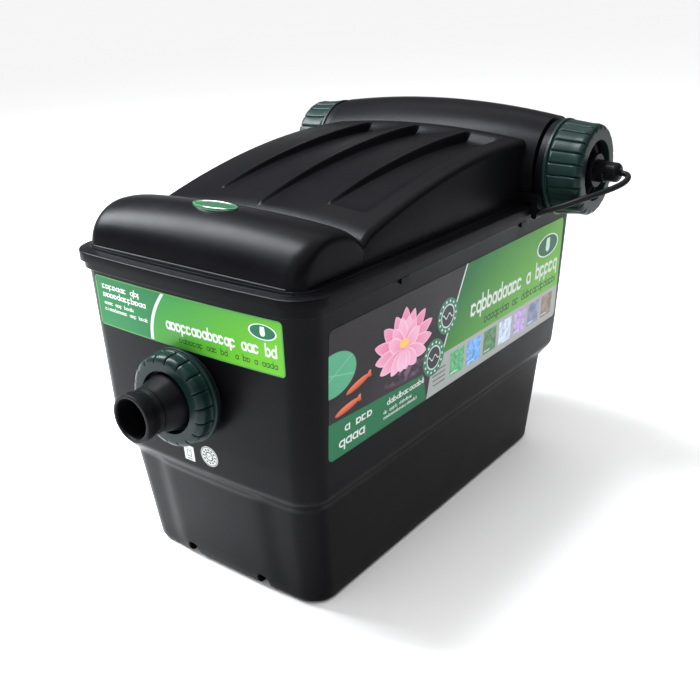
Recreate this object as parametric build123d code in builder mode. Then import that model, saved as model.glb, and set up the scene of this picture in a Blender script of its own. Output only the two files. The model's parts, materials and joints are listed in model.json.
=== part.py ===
from build123d import *
from math import pi, radians, sqrt, tan
import os

# A box-type pond filter: a tapered tub with its media, a push-on lid, and a UV clarifier across the
# back of the lid. +Z is up, -Y is the front (outlet) and +X the lamp side. The origin is the middle
# of the tub's base, on the surface that it stands on. All sizes are in millimetres.

os.makedirs("parts", exist_ok=True)

# ------------------------------------------------------------------ driving dimensions
wall = 3.0  # moulded wall
running = 0.4  # gap between pieces that move past each other
end_bow = 4.5  # how far the short ends bulge at their middle
corner_r = 24.0  # upright corners of the tub

# half width, half length and height of each change of slope of the tub, from the base up
base_size = (112.0, 222.5, 14.0)
ledge_in_size = (119.5, 233.0, 115.0)
ledge_out_size = (129.5, 242.5, 127.0)
crease_size = (130.8, 245.0, 157.5)
tub_top_size = (136.0, 250.6, 316.0)
foot_round = 14.0  # rounding of the base's edge
channel_x, channel_w, channel_h = 47.0, 15.0, 16.0  # the two drain channels under the base
lip_x, lip_y, lip_low, lip_high = 137.5, 254.0, 303.0, 312.0

skirt_x, skirt_y = 143.0, 257.5  # outside of the lid's skirt
skirt_low, skirt_top = 311.0, 320.0
deck_z = 323.0  # top of the lid's flat deck
skirt_drop = 10.0  # how far shapes that stand on the deck reach below it before they are trimmed
ridge_in = 10.0  # how far the deck's edge stands inside the skirt

roll_y, roll_half, roll_x = -203.0, 47.0, 127.0  # the roll across the front of the lid
roll_end_h, roll_mid_h = 37.0, 44.0
hump_x = 126.0
hump_peak, hump_peak_y, hump_fall = 394.0, 100.0, 0.00059
hump_crown, hump_shoulder = 8.5, 7.0
hump_stations = (-170.0, -130.0, -90.0, -45.0, 0.0, 50.0, 100.0, 150.0)
# each hollow behind a crest: its two edges across the hump, and its depth along the hump
scoop_spans = ((-64.0, -2.5), (0.0, 61.5), (64.0, 106.0))
scoop_stations = ((-124.0, 0.3), (-95.0, 4.5), (-45.0, 8.0), (20.0, 9.5), (80.0, 10.0), (116.0, 10.0))
scoop_run = 5.5  # how far across the steep side of a hollow runs

uv_y, uv_z = 178.6, 351.5  # axis of the UV housing, parallel to X
cowl_r, cowl_end_r, cowl_x = 63.0, 53.0, 137.0
groove_r, groove_w = 45.5, 3.0  # groove between the cowl and its end flange
pedestal_in = 0.4  # how far the cowl's upright sides stand inside its widest line
chamber_r, chamber_wall = 24.5, 3.5
neck_r, neck_x = 50.0, 147.0
thread_r, thread_x = 43.0, 171.0
uv_nut_lip_r, uv_nut_r, uv_nut_x = 51.5, 50.0, 187.3
uv_nut_hole_r, uv_nut_round = 32.0, 12.5
cap_flange_r, cap_flange_t = 42.3, 4.8
slip_ring_t = 1.2
pilot_r, pilot_l = 37.6, 13.0

outlet_z = 209.0
boss_y = 253.5  # face of the outlet boss, in front of the middle
outlet_thread_r, outlet_thread_y = 37.5, 270.0
outlet_nut_r, outlet_nut_y, outlet_hole_r, outlet_nut_round = 43.5, 280.0, 29.0, 13.0
tail_bore_r, tail_root_r, tail_shank_r, tail_lip_r, tail_end_y = 17.5, 26.0, 20.5, 22.0, 319.0

inlet_x, inlet_z = -80.0, 359.0
inlet_neck_r, inlet_stop_y, inlet_face_y = 21.0, 248.6, 258.0
inlet_nut_y, inlet_hole_r, inlet_nut_round = 268.0, 20.0, 8.5
inlet_thread_r, inlet_nut_r = 26.0, 30.5
inlet_tail_end_y = 306.0

divider_y, divider_t = -150.0, 4.0
rear_stop_y = 238.0
tray_ledge_x, tray_ledge_y, tray_ledge_z = 129.5, (-100.0, 40.0, 190.0), 284.5
lead_r = 3.1  # lamp lead, 6.2 mm over its sheath
duct_x, duct_y, duct_run_z = 137.8, 122.8, 326.0
hanger_pitch_x, hanger_pitch_y, hanger_top_z = 170.0, 34.0, 362.0  # ballast box's four fixings
ballast_l, ballast_w, ballast_h = 206.0, 50.0, 30.0

beyond = 600.0  # longer than any piece, for cuts that go right through


# ------------------------------------------------------------------ shared shapes
def foot_inset(height):
    """How far the rounded foot has drawn in at a height above the base."""
    rise = (foot_round - height) / foot_round
    return foot_round * (1 - sqrt(1 - rise * rise))


def wall_sections(inset, low):
    """Half sizes and heights of the tub's wall from a height up, drawn in by an inset."""
    base_x, base_y, base_z = base_size
    rows = []
    for height in (low, low + 3.0, low + 7.0):
        shrink = foot_inset(height)
        rows.append((base_x - shrink, base_y - shrink, height))
    rows += [base_size, ledge_in_size, ledge_out_size, crease_size, tub_top_size]
    return [(x - inset, y - inset, z) for x, y, z in rows]


def footprint(half_x, half_y, radius):
    """Rounded rectangle whose two short ends are bowed outwards."""
    with BuildSketch() as face:
        with BuildLine():
            Line((half_x, -half_y), (half_x, half_y))
            ThreePointArc((half_x, half_y), (0, half_y + end_bow), (-half_x, half_y))
            Line((-half_x, half_y), (-half_x, -half_y))
            ThreePointArc((-half_x, -half_y), (0, -half_y - end_bow), (half_x, -half_y))
        make_face()
        fillet(face.vertices(), radius)
    return face.sketch


def wall_block(inset, low, radius=corner_r):
    """Solid block of the tub's outer shape, drawn in by an inset."""
    with BuildPart() as block:
        for half_x, half_y, height in wall_sections(inset, low):
            with BuildSketch(Plane.XY.offset(height)):
                add(footprint(half_x, half_y, radius))
        loft(ruled=True)
    return block.part


def inner_slab(inset, low, high, front, rear):
    """Slab that fills the tub's inside between two heights and two stations."""
    with BuildPart() as slab:
        add(wall_block(wall + inset, wall, corner_r - wall))
        with Locations((0, (front + rear) / 2, (low + high) / 2)):
            Box(beyond, rear - front, high - low, mode=Mode.INTERSECT)
    return slab.part


def hump_top(x, y):
    """Height of the hump's crowned top at a place."""
    return hump_peak - hump_fall * (y - hump_peak_y) ** 2 - hump_crown * (x / hump_x) ** 2


def hump_block(inset):
    """The rising hump behind the roll, drawn in by an inset."""
    half_x = hump_x - inset
    with BuildPart() as block:
        for y in hump_stations:
            edge_z, mid_z = hump_top(hump_x, y) - inset, hump_top(0, y) - inset
            with BuildSketch(Plane.XZ.offset(-y)) as section:
                with BuildLine():
                    ThreePointArc((-half_x, edge_z), (0, mid_z), (half_x, edge_z))
                    Polyline((half_x, edge_z), (half_x, skirt_top - 1), (-half_x, skirt_top - 1),
                             (-half_x, edge_z))
                make_face()
                fillet(section.vertices().group_by(Axis.Y)[-1], hump_shoulder - inset)
        loft(ruled=True)
    return block.part


def scoop(near_x, far_x, inset):
    """Cutter for the hollow behind one crest, moved into the wall by an inset."""
    with BuildPart() as cutter:
        for y, depth in scoop_stations:
            near, far = hump_top(near_x, y), hump_top(far_x, y)
            with BuildSketch(Plane.XZ.offset(-y)):
                Polygon((near_x - inset, near + 2 * wall), (near_x - inset, near - inset),
                        (near_x - inset + scoop_run, near - depth - inset), (far_x, far - inset),
                        (far_x, far + 2 * wall), align=None)
        loft(ruled=True)
    return cutter.part


def roll_block(inset):
    """The half-round roll across the front, crowned at its middle, drawn in by an inset."""
    with BuildPart() as block:
        for x, height in ((inset - roll_x, roll_end_h), (0, roll_mid_h), (roll_x - inset, roll_end_h)):
            with BuildSketch(Plane.YZ.offset(x)):
                with Locations((roll_y, deck_z - 2)):
                    Ellipse(roll_half - inset, height + 2 - 1.5 * inset)
                    Rectangle(2 * roll_half, 2 * roll_mid_h, align=(Align.CENTER, Align.MAX),
                              mode=Mode.SUBTRACT)
        loft()
    return block.part


def uv_turned(points, crown=None):
    """Body turned about the UV axis, from (x, radius) points closed along the axis.

    With crown, the straight edge after the first point is an arc through (0, crown)."""
    with BuildPart() as turned:
        with BuildSketch(Plane(origin=(0, uv_y, uv_z), x_dir=(1, 0, 0), z_dir=(0, -1, 0))):
            with BuildLine():
                first, second = points[0], points[1]
                Line((first[0], 0), first)
                if crown:
                    ThreePointArc(first, (0, crown), second)
                    Polyline(*points[1:], (points[-1][0], 0))
                else:
                    Polyline(*points, (points[-1][0], 0))
                Line((points[-1][0], 0), (first[0], 0))
            make_face()
        revolve(axis=Axis((0, uv_y, uv_z), (1, 0, 0)))
    return turned.part


def crowned(extra, half_length):
    """Cowl's outside grown by extra, over a half length: a barrel on upright sides."""
    end_r = cowl_r - (cowl_r - cowl_end_r) * (half_length / cowl_x) ** 2 + extra
    end_w, mid_w = end_r - pedestal_in, cowl_r + extra - pedestal_in
    with BuildPart() as cowl:
        add(uv_turned([(-half_length, end_r), (half_length, end_r)], crown=cowl_r + extra))
        with BuildSketch(Plane.XY.offset(uv_z)):
            with BuildLine():
                for side in (-1, 1):
                    ThreePointArc((-half_length, uv_y + side * end_w), (0, uv_y + side * mid_w),
                                  (half_length, uv_y + side * end_w))
                    Line((side * half_length, uv_y - end_w), (side * half_length, uv_y + end_w))
            make_face()
        extrude(amount=deck_z - skirt_drop - uv_z)
    return cowl.part


def flange_block(x_from, x_to, radius):
    """Slice across the UV axis: round above it, upright sides below."""
    with BuildPart() as flange:
        add(along_x(x_from, x_to, radius))
        with Locations(((x_from + x_to) / 2, uv_y, (uv_z + deck_z) / 2)):
            Box(abs(x_to - x_from), 2 * (radius - pedestal_in), uv_z - deck_z)
    return flange.part


def along_x(x_from, x_to, radius, hole=0.0, y=uv_y, z=uv_z):
    """Round bar or tube parallel to X."""
    plane = Plane(origin=(min(x_from, x_to), y, z), x_dir=(0, 1, 0), z_dir=(1, 0, 0))
    return turned_bar(plane, abs(x_to - x_from), radius, hole)


def along_y(y_from, y_to, radius, hole=0.0, x=0.0, z=outlet_z):
    """Round bar or tube parallel to Y."""
    plane = Plane(origin=(x, max(y_from, y_to), z), x_dir=(1, 0, 0), z_dir=(0, -1, 0))
    return turned_bar(plane, abs(y_to - y_from), radius, hole)


def turned_bar(plane, length, radius, hole):
    """Round bar or tube that starts on a plane and follows its normal."""
    with BuildPart() as bar:
        with BuildSketch(plane):
            Circle(radius)
            if hole > 0:
                Circle(hole, mode=Mode.SUBTRACT)
        extrude(amount=length)
    return bar.part


def ring(plane, mid_r, section_r):
    """O-ring about a plane's normal."""
    with BuildPart() as seal:
        with Locations(plane):
            Torus(mid_r, section_r)
    return seal.part


def x_plane(x):
    """Plane across the UV axis."""
    return Plane(origin=(x, uv_y, uv_z), x_dir=(0, 1, 0), z_dir=(1, 0, 0))


# ------------------------------------------------------------------ tub
with BuildPart() as channel_ridges:
    with BuildSketch(Plane.XZ.offset(-beyond / 2)):
        for side in (-1, 1):
            with Locations((side * channel_x, channel_h / 2 + wall / 2)):
                RectangleRounded(channel_w + 2 * wall, channel_h + wall, channel_w / 2 + wall - 2)
            with Locations((side * channel_x, wall)):
                Rectangle(channel_w + 2 * wall, 2 * wall)
    extrude(amount=beyond)
    add(wall_block(0.5, 0.0), mode=Mode.INTERSECT)

with BuildPart() as divider_guides:
    add(wall_block(wall - 0.5, wall, corner_r - wall))
    add(wall_block(wall + 6.0, wall, corner_r - wall - 6), mode=Mode.SUBTRACT)
    with Locations((0, divider_y, 155)):
        Box(beyond, divider_t + 9, 270, mode=Mode.INTERSECT)
        Box(beyond, divider_t + 2, beyond, mode=Mode.SUBTRACT)

with BuildPart() as tub:
    add(wall_block(0.0, 0.0))
    with BuildSketch(Plane.XY.offset(lip_low)):
        add(footprint(lip_x, lip_y, corner_r))
    extrude(amount=lip_high - lip_low)
    add(wall_block(wall, wall, corner_r - wall), mode=Mode.SUBTRACT)
    add(channel_ridges.part)
    with BuildSketch(Plane.XZ.offset(-beyond / 2)):
        for side in (-1, 1):
            with Locations((side * channel_x, channel_h - channel_w / 2)):
                Circle(channel_w / 2)
            with Locations((side * channel_x, (channel_h - channel_w / 2) / 2 - 1)):
                Rectangle(channel_w, channel_h - channel_w / 2 + 2)
    extrude(amount=beyond, mode=Mode.SUBTRACT)
    add(divider_guides.part)
    # outlet boss, faced square to Y
    add(along_y(-247.5, -boss_y, 40.0))
    add(along_y(-200, -300, 23.0), mode=Mode.SUBTRACT)
    # ledges that carry the distribution tray, and the small nibs under the rim
    for side in (-1, 1):
        with Locations(*[(side * tray_ledge_x, y, tray_ledge_z) for y in tray_ledge_y]):
            Box(8, 22, 5)
        with Locations(*[(side * 136.2, y, 300.5) for y in (-114, 114)]):
            Box(3, 12, 5)
tub.part.label = "tub"
export_step(tub.part, "parts/tub.step")

# ------------------------------------------------------------------ labels and stickers on the tub
sheet = 0.3


def skin(plane, height_low, height_high, half_width, middle, radius):
    """Thin sheet lying on the tub's wall: a rounded panel seen along a plane's normal."""
    with BuildPart() as panel:
        with BuildSketch(plane):
            with Locations((middle, (height_low + height_high) / 2)):
                RectangleRounded(2 * half_width, height_high - height_low, radius)
        extrude(amount=beyond)
        add(wall_block(-sheet, 0.0), mode=Mode.INTERSECT)
        add(wall_block(0.0, 0.0), mode=Mode.SUBTRACT)
    return panel.part


with BuildPart() as front_label:
    add(skin(Plane.XZ, 249.5, 298.5, 113.0, 0.0, 4.0))
front_label.part.label = "front_label"
export_step(front_label.part, "parts/front_label.step")

with BuildPart() as side_label:
    add(skin(Plane.YZ, 164.0, 285.5, 221.0, 0.0, 6.0))
side_label.part.label = "side_label"
export_step(side_label.part, "parts/side_label.step")

with BuildPart() as front_stickers:
    add(skin(Plane.XZ, 134.5, 150.5, 6.5, -11.0, 1.0))
    add(skin(Plane.XZ, 136.5, 157.5, 10.5, 15.5, 10.4))
front_stickers.part.label = "front_stickers"
export_step(front_stickers.part, "parts/front_stickers.step")

# ------------------------------------------------------------------ inside the tub
grid_low = 119.0
grid_top = grid_low + 4.0

with BuildPart() as divider_plate:
    add(inner_slab(0.5, 45.0, 284.0, divider_y - divider_t / 2, divider_y + divider_t / 2))
    with BuildSketch(Plane.XZ.offset(-divider_y)):
        with Locations((0, 262)):
            SlotOverall(90, 20)
    extrude(amount=10, both=True, mode=Mode.SUBTRACT)
divider_plate.part.label = "divider_plate"
export_step(divider_plate.part, "parts/divider_plate.step")

front_stop = divider_y + divider_t / 2 + 6.0
grid_mid_y = (front_stop + rear_stop_y) / 2


def perforate(count_x, count_y, pitch_x, pitch_y, hole_x, hole_y):
    """Sketch of a field of slots, centred behind the divider."""
    with BuildSketch() as field:
        with Locations((0, grid_mid_y)):
            with GridLocations(pitch_x, pitch_y, count_x, count_y):
                Rectangle(hole_x, hole_y)
    return field.sketch


with BuildPart() as support_grid:
    add(inner_slab(0.4, grid_low, grid_top, front_stop, 231.0))
    with BuildSketch(Plane.XY.offset(grid_low - 1)):
        add(perforate(10, 9, 21.0, 39.0, 14.0, 32.0))
    extrude(amount=10, mode=Mode.SUBTRACT)
support_grid.part.label = "support_grid"
export_step(support_grid.part, "parts/support_grid.step")

wheel_r, wheel_h = 17.0, 32.0
with BuildPart() as bio_media:
    with BuildSketch(Plane.XY.offset(grid_top + 0.4)):
        with Locations((0, grid_mid_y)):
            with GridLocations(38.0, 38.0, 6, 9):
                Circle(wheel_r)
                Circle(wheel_r - 3, mode=Mode.SUBTRACT)
                Rectangle(2 * wheel_r - 4, 2.4)
    extrude(amount=wheel_h)
bio_media.part.label = "bio_media"
export_step(bio_media.part, "parts/bio_media.step")

screen_low = grid_top + wheel_h + 1.6
with BuildPart() as media_screen:
    add(inner_slab(0.8, screen_low, screen_low + 2.4, front_stop, rear_stop_y))
    with BuildSketch(Plane.XY.offset(screen_low - 1)):
        add(perforate(9, 9, 26.0, 40.0, 19.0, 33.0))
    extrude(amount=5, mode=Mode.SUBTRACT)
media_screen.part.label = "media_screen"
export_step(media_screen.part, "parts/media_screen.step")

foam_t = 39.0
foam_low = screen_low + 3.0
with BuildPart() as fine_foam:
    add(inner_slab(1.2, foam_low, foam_low + foam_t, front_stop, rear_stop_y))
fine_foam.part.label = "fine_foam"
export_step(fine_foam.part, "parts/fine_foam.step")

with BuildPart() as medium_foam:
    add(inner_slab(1.2, foam_low + foam_t + 0.6, foam_low + 2 * foam_t, front_stop, rear_stop_y))
medium_foam.part.label = "medium_foam"
export_step(medium_foam.part, "parts/medium_foam.step")

with BuildPart() as coarse_foam:
    add(inner_slab(1.2, foam_low + 2 * foam_t + 0.6, foam_low + 3 * foam_t - 0.6, front_stop,
                   rear_stop_y))
    for side in (-1, 1):
        with Locations(*[(side * tray_ledge_x, y, tray_ledge_z) for y in tray_ledge_y]):
            Box(12, 26, 8, mode=Mode.SUBTRACT)
coarse_foam.part.label = "coarse_foam"
export_step(coarse_foam.part, "parts/coarse_foam.step")

tray_low = 287.2
with BuildPart() as distribution_tray:
    add(inner_slab(1.0, tray_low, tray_low + 12.0, front_stop, rear_stop_y))
    with BuildSketch(Plane.XY.offset(tray_low + 2.4)):
        with Locations((0, grid_mid_y)):
            RectangleRounded(256.0, rear_stop_y - front_stop - 6.0, 12.0)
    extrude(amount=20, mode=Mode.SUBTRACT)
    with BuildSketch(Plane.XY.offset(tray_low - 1)):
        with Locations((0, grid_mid_y)):
            with GridLocations(32.0, 34.0, 7, 10):
                Circle(4.0)
    extrude(amount=10, mode=Mode.SUBTRACT)
distribution_tray.part.label = "distribution_tray"
export_step(distribution_tray.part, "parts/distribution_tray.step")

# ------------------------------------------------------------------ outlet union
gasket_t = 2.0
flange_y = boss_y + gasket_t
flange_front = flange_y + 3.5

with BuildPart() as outlet_gasket:
    add(along_y(-boss_y, -flange_y, 39.5, 23.4))
outlet_gasket.part.label = "outlet_gasket"
export_step(outlet_gasket.part, "parts/outlet_gasket.step")

with BuildPart() as outlet_spigot:
    add(along_y(-flange_y, -flange_front, 41.0))
    add(along_y(-flange_front, -outlet_thread_y, outlet_thread_r))
    add(along_y(-flange_y, -228.0, 22.6))
    add(along_y(-flange_front, -outlet_thread_y, 33.6), mode=Mode.SUBTRACT)
    add(along_y(-220, -300, tail_bore_r), mode=Mode.SUBTRACT)
outlet_spigot.part.label = "outlet_spigot"
export_step(outlet_spigot.part, "parts/outlet_spigot.step")

back_nut_face = 246.6
with BuildPart() as outlet_backnut:
    with BuildSketch(Plane(origin=(0, -back_nut_face, outlet_z), x_dir=(1, 0, 0), z_dir=(0, 1, 0))):
        RegularPolygon(34.0, 6)
        Circle(22.65, mode=Mode.SUBTRACT)
    extrude(amount=9.0)
    chamfer(outlet_backnut.faces().sort_by(Axis.Y)[-1].edges().filter_by(GeomType.LINE), 1.5)
outlet_backnut.part.label = "outlet_backnut"
export_step(outlet_backnut.part, "parts/outlet_backnut.step")

# the tail: a flange that the nut grips, a pilot inside the spigot and a shank for 40 mm hose
tail_flange_y = outlet_thread_y + 0.3
tail_flange_front = tail_flange_y + 4.0
with BuildPart() as outlet_hose_tail:
    with BuildSketch(Plane(origin=(0, 0, outlet_z), x_dir=(0, -1, 0), z_dir=(1, 0, 0))):
        with BuildLine():
            Polyline(
                (flange_front + 1.5, tail_bore_r),
                (flange_front + 1.5, 33.0),
                (flange_front + 4.0, 33.0),
                (flange_front + 4.0, 30.6),
                (flange_front + 7.0, 30.6),
                (flange_front + 7.0, 33.0),
                (tail_flange_y, 33.0),
                (tail_flange_y, 37.0),
                (tail_flange_front, 37.0),
                (tail_flange_front, tail_root_r),
                (tail_flange_front + 4.0, tail_root_r),
                (tail_end_y - 24.0, tail_shank_r + 0.9),
                (tail_end_y - 20.0, tail_shank_r + 0.2),
                (tail_end_y - 19.0, tail_shank_r + 0.9),
                (tail_end_y - 15.0, tail_shank_r),
                (tail_end_y - 10.0, tail_shank_r),
                (tail_end_y - 9.0, tail_lip_r),
                (tail_end_y - 1.0, tail_lip_r),
                (tail_end_y, tail_lip_r - 1.0),
                (tail_end_y, tail_bore_r),
                close=True,
            )
        make_face()
    revolve(axis=Axis((0, 0, outlet_z), (0, -1, 0)))
outlet_hose_tail.part.label = "outlet_hose_tail"
export_step(outlet_hose_tail.part, "parts/outlet_hose_tail.step")

seal_plane = Plane(origin=(0, -flange_front - 5.5, outlet_z), x_dir=(1, 0, 0), z_dir=(0, -1, 0))
with BuildPart() as outlet_oring:
    add(ring(seal_plane, 32.0, 1.3))
outlet_oring.part.label = "outlet_oring"
export_step(outlet_oring.part, "parts/outlet_oring.step")


def grip_nut(length, lip_r, barrel_r, front_r, shoulder, hole_r, thread_clear_r, web_t, grooves):
    """Union nut along local Z: a lip ring, a grooved barrel, a rounded shoulder and an end web."""
    with BuildPart() as nut:
        with BuildSketch(Plane.XZ):
            with BuildLine():
                Polyline((thread_clear_r, 0), (lip_r, 0), (lip_r, 2.6), (barrel_r, 3.4))
                Line((barrel_r, 3.4), (front_r, length - shoulder))
                RadiusArc((front_r, length - shoulder), (front_r - shoulder, length), -shoulder)
                Polyline((front_r - shoulder, length), (hole_r, length), (hole_r, length - web_t),
                         (thread_clear_r, length - web_t), (thread_clear_r, 0))
            make_face()
        revolve(axis=Axis.Z)
        with PolarLocations(barrel_r + 0.2, grooves):
            with Locations((0, 0, length / 2 + 3)):
                Box(1.6, 1.3, length - 2, mode=Mode.SUBTRACT)
    return nut.part


def screwed(nut, x, y, z, direction):
    """Nut with its thread mouth at a point and its web out along a direction."""
    return Plane(origin=(x, y, z), z_dir=direction).location * nut


outlet_nut_start = flange_front + 0.4
with BuildPart() as outlet_union_nut:
    add(screwed(
        grip_nut(outlet_nut_y - outlet_nut_start, 44.5, outlet_nut_r, 42.7, outlet_nut_round,
                 outlet_hole_r, outlet_thread_r + running, outlet_nut_y - tail_flange_front - 0.3, 18),
        0, -outlet_nut_start, outlet_z, (0, -1, 0)))
outlet_union_nut.part.label = "outlet_union_nut"
export_step(outlet_union_nut.part, "parts/outlet_union_nut.step")

# ------------------------------------------------------------------ lid
rim_seal_low = 316.0
spout_x = 95.0
screw_spots = [(side_x * 106.0, uv_y + side_y * 36.0) for side_x in (-1, 1) for side_y in (-1, 1)]
mains_y, mains_z = 0.0, 347.0
badge_x, badge_y, badge_floor = 25.0, 11.0, 365.2

seat_gap = 0.5
hollow_rear_y = 118.6
with BuildPart() as cowl_seat:
    add(crowned(seat_gap, cowl_x + groove_w))
    with Locations((0, uv_y, deck_z)):
        Box(beyond, beyond, beyond, align=(Align.CENTER, Align.CENTER, Align.MIN), mode=Mode.INTERSECT)

with BuildPart() as hump_hollow:
    add(hump_block(wall))
    for near_x, far_x in scoop_spans:
        add(scoop(near_x, far_x, wall), mode=Mode.SUBTRACT)
    add(crowned(seat_gap + wall, cowl_x + groove_w), mode=Mode.SUBTRACT)
    with Locations((0, hump_stations[0], hump_peak)):
        Box(beyond, 2 * wall, beyond, mode=Mode.SUBTRACT)
    with Locations((0, hollow_rear_y, hump_peak)):
        Box(beyond, beyond, beyond, align=(Align.CENTER, Align.MIN, Align.CENTER), mode=Mode.SUBTRACT)

with BuildPart() as ballast_hangers:
    with BuildSketch(Plane.XY.offset(hanger_top_z + 0.2)):
        with GridLocations(hanger_pitch_x, hanger_pitch_y, 2, 2):
            Circle(5)
    extrude(amount=40)
    add(hump_block(1.0), mode=Mode.INTERSECT)

with BuildPart() as lid:
    with BuildSketch(Plane.XY.offset(skirt_low)):
        add(footprint(skirt_x, skirt_y, corner_r + 6))
    extrude(amount=skirt_top - skirt_low)
    for height, draw_in in ((skirt_top, 0.0), (deck_z, ridge_in)):
        with BuildSketch(Plane.XY.offset(height)):
            add(footprint(skirt_x - draw_in, skirt_y - draw_in, corner_r + 6 - draw_in / 2))
    loft(ruled=True)
    add(hump_block(0.0))
    for near_x, far_x in scoop_spans:
        add(scoop(near_x, far_x, 0.0), mode=Mode.SUBTRACT)
    add(roll_block(0.0))
    add(cowl_seat.part, mode=Mode.SUBTRACT)
    with BuildSketch(Plane.XY.offset(skirt_low - 1)):
        add(footprint(skirt_x - wall, skirt_y - wall, corner_r + 3))
    extrude(amount=skirt_top - skirt_low + 1, mode=Mode.SUBTRACT)
    add(hump_hollow.part, mode=Mode.SUBTRACT)
    add(roll_block(wall), mode=Mode.SUBTRACT)
    # pocket for the badge on the roll's crest
    with BuildSketch(Plane.XY.offset(badge_floor)):
        with Locations((0, roll_y)):
            Ellipse(badge_x + 0.2, badge_y + 0.2)
    extrude(amount=20, mode=Mode.SUBTRACT)
    # holes for the down-pipe, the housing's screws and the mains gland
    with BuildSketch(Plane.XY.offset(skirt_top - 1)):
        with Locations((spout_x, uv_y)):
            Circle(17.0)
        with Locations(*screw_spots):
            Circle(2.3)
    extrude(amount=6, mode=Mode.SUBTRACT)
    add(along_x(-100, -140, 6.3, y=mains_y, z=mains_z), mode=Mode.SUBTRACT)
    add(ballast_hangers.part)
lid.part.label = "lid"
export_step(lid.part, "parts/lid.step")

with BuildPart() as lid_seal:
    with BuildSketch(Plane.XY.offset(rim_seal_low)):
        add(footprint(tub_top_size[0] + 0.6, tub_top_size[1] + 0.6, corner_r))
        add(footprint(tub_top_size[0] - 3.6, tub_top_size[1] - 3.6, corner_r - 4), mode=Mode.SUBTRACT)
    extrude(amount=skirt_top - rim_seal_low)
lid_seal.part.label = "lid_seal"
export_step(lid_seal.part, "parts/lid_seal.step")

with BuildPart() as lid_badge:
    with BuildSketch(Plane.XY.offset(badge_floor)):
        with Locations((0, roll_y)):
            Ellipse(badge_x, badge_y)
    extrude(amount=3.2)
    fillet(lid_badge.faces().sort_by(Axis.Z)[-1].edges(), 1.6)
lid_badge.part.label = "lid_badge"
export_step(lid_badge.part, "parts/lid_badge.step")

# ------------------------------------------------------------------ UV housing
# space between the cowl and the chamber
with BuildPart() as cowl_space:
    add(crowned(-wall, cowl_x - wall))
    add(along_x(-beyond, beyond, chamber_r + chamber_wall), mode=Mode.SUBTRACT)
    with Locations((0, uv_y, deck_z + wall)):
        Box(beyond, beyond, beyond, align=(Align.CENTER, Align.CENTER, Align.MAX), mode=Mode.SUBTRACT)
    with Locations(*[(x, y, deck_z) for x, y in screw_spots]):
        Cylinder(5.0, 30.0, mode=Mode.SUBTRACT)

with BuildPart() as uv_housing:
    add(crowned(0.0, cowl_x))
    add(flange_block(-cowl_x - groove_w, cowl_x + groove_w, groove_r))
    for side in (-1, 1):
        add(flange_block(side * (cowl_x + groove_w), side * neck_x, neck_r))
    add(along_x(-thread_x, thread_x, thread_r))
    # everything over the rim stands on the deck
    with Locations((0, uv_y, deck_z)):
        Box(2 * skirt_x + 1, beyond, beyond, align=(Align.CENTER, Align.CENTER, Align.MAX),
            mode=Mode.SUBTRACT)
    add(cowl_space.part, mode=Mode.SUBTRACT)
    # inlet branch
    add(along_y(200, inlet_stop_y, inlet_neck_r, x=inlet_x, z=inlet_z))
    add(along_y(inlet_stop_y - 3.6, inlet_stop_y, 29.0, x=inlet_x, z=inlet_z))
    add(along_y(inlet_stop_y, inlet_face_y, inlet_thread_r, x=inlet_x, z=inlet_z))
    # down-pipe into the tub
    with BuildSketch(Plane.XY.offset(303.0)):
        with Locations((spout_x, uv_y)):
            Circle(16.5)
    extrude(amount=30)
    # bores
    add(along_x(-200, 200, chamber_r), mode=Mode.SUBTRACT)
    add(along_x(thread_x - pilot_l - 0.5, 200, pilot_r + 0.3), mode=Mode.SUBTRACT)
    add(along_x(-200, -thread_x + pilot_l + 0.5, pilot_r + 0.3), mode=Mode.SUBTRACT)
    add(along_y(190, 300, 16.0, x=inlet_x, z=inlet_z), mode=Mode.SUBTRACT)
    add(along_y(249.0, 300, 22.0, x=inlet_x, z=inlet_z), mode=Mode.SUBTRACT)
    with BuildSketch(Plane.XY.offset(300)):
        with Locations((spout_x, uv_y)):
            Circle(13.5)
    extrude(amount=40, mode=Mode.SUBTRACT)
    with BuildSketch(Plane.XY.offset(deck_z)):
        with Locations(*screw_spots):
            Circle(2.05)
    extrude(amount=11, mode=Mode.SUBTRACT)
uv_housing.part.label = "uv_housing"
export_step(uv_housing.part, "parts/uv_housing.step")

with BuildPart() as housing_screws:
    with BuildSketch(Plane.XY.offset(skirt_top - 2.6)):
        with Locations(*screw_spots):
            Circle(4.2)
    extrude(amount=2.6)
    with BuildSketch(Plane.XY.offset(skirt_top)):
        with Locations(*screw_spots):
            Circle(2.0)
    extrude(amount=13.0)
housing_screws.part.label = "housing_screws"
export_step(housing_screws.part, "parts/housing_screws.step")

# ------------------------------------------------------------------ the two closed ends of the housing
cap_x = thread_x + 0.3
cap_front = cap_x + cap_flange_t
slip_ring_x = cap_front + 0.3
nut_start = neck_x + 0.5
sleeve_r, sleeve_wall = 12.0, 1.3
sleeve_open_x, sleeve_shut_x = 162.0, -152.0
gland_x, gland_hex_l, gland_nut_l = 188.0, 9.6, 15.4


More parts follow.
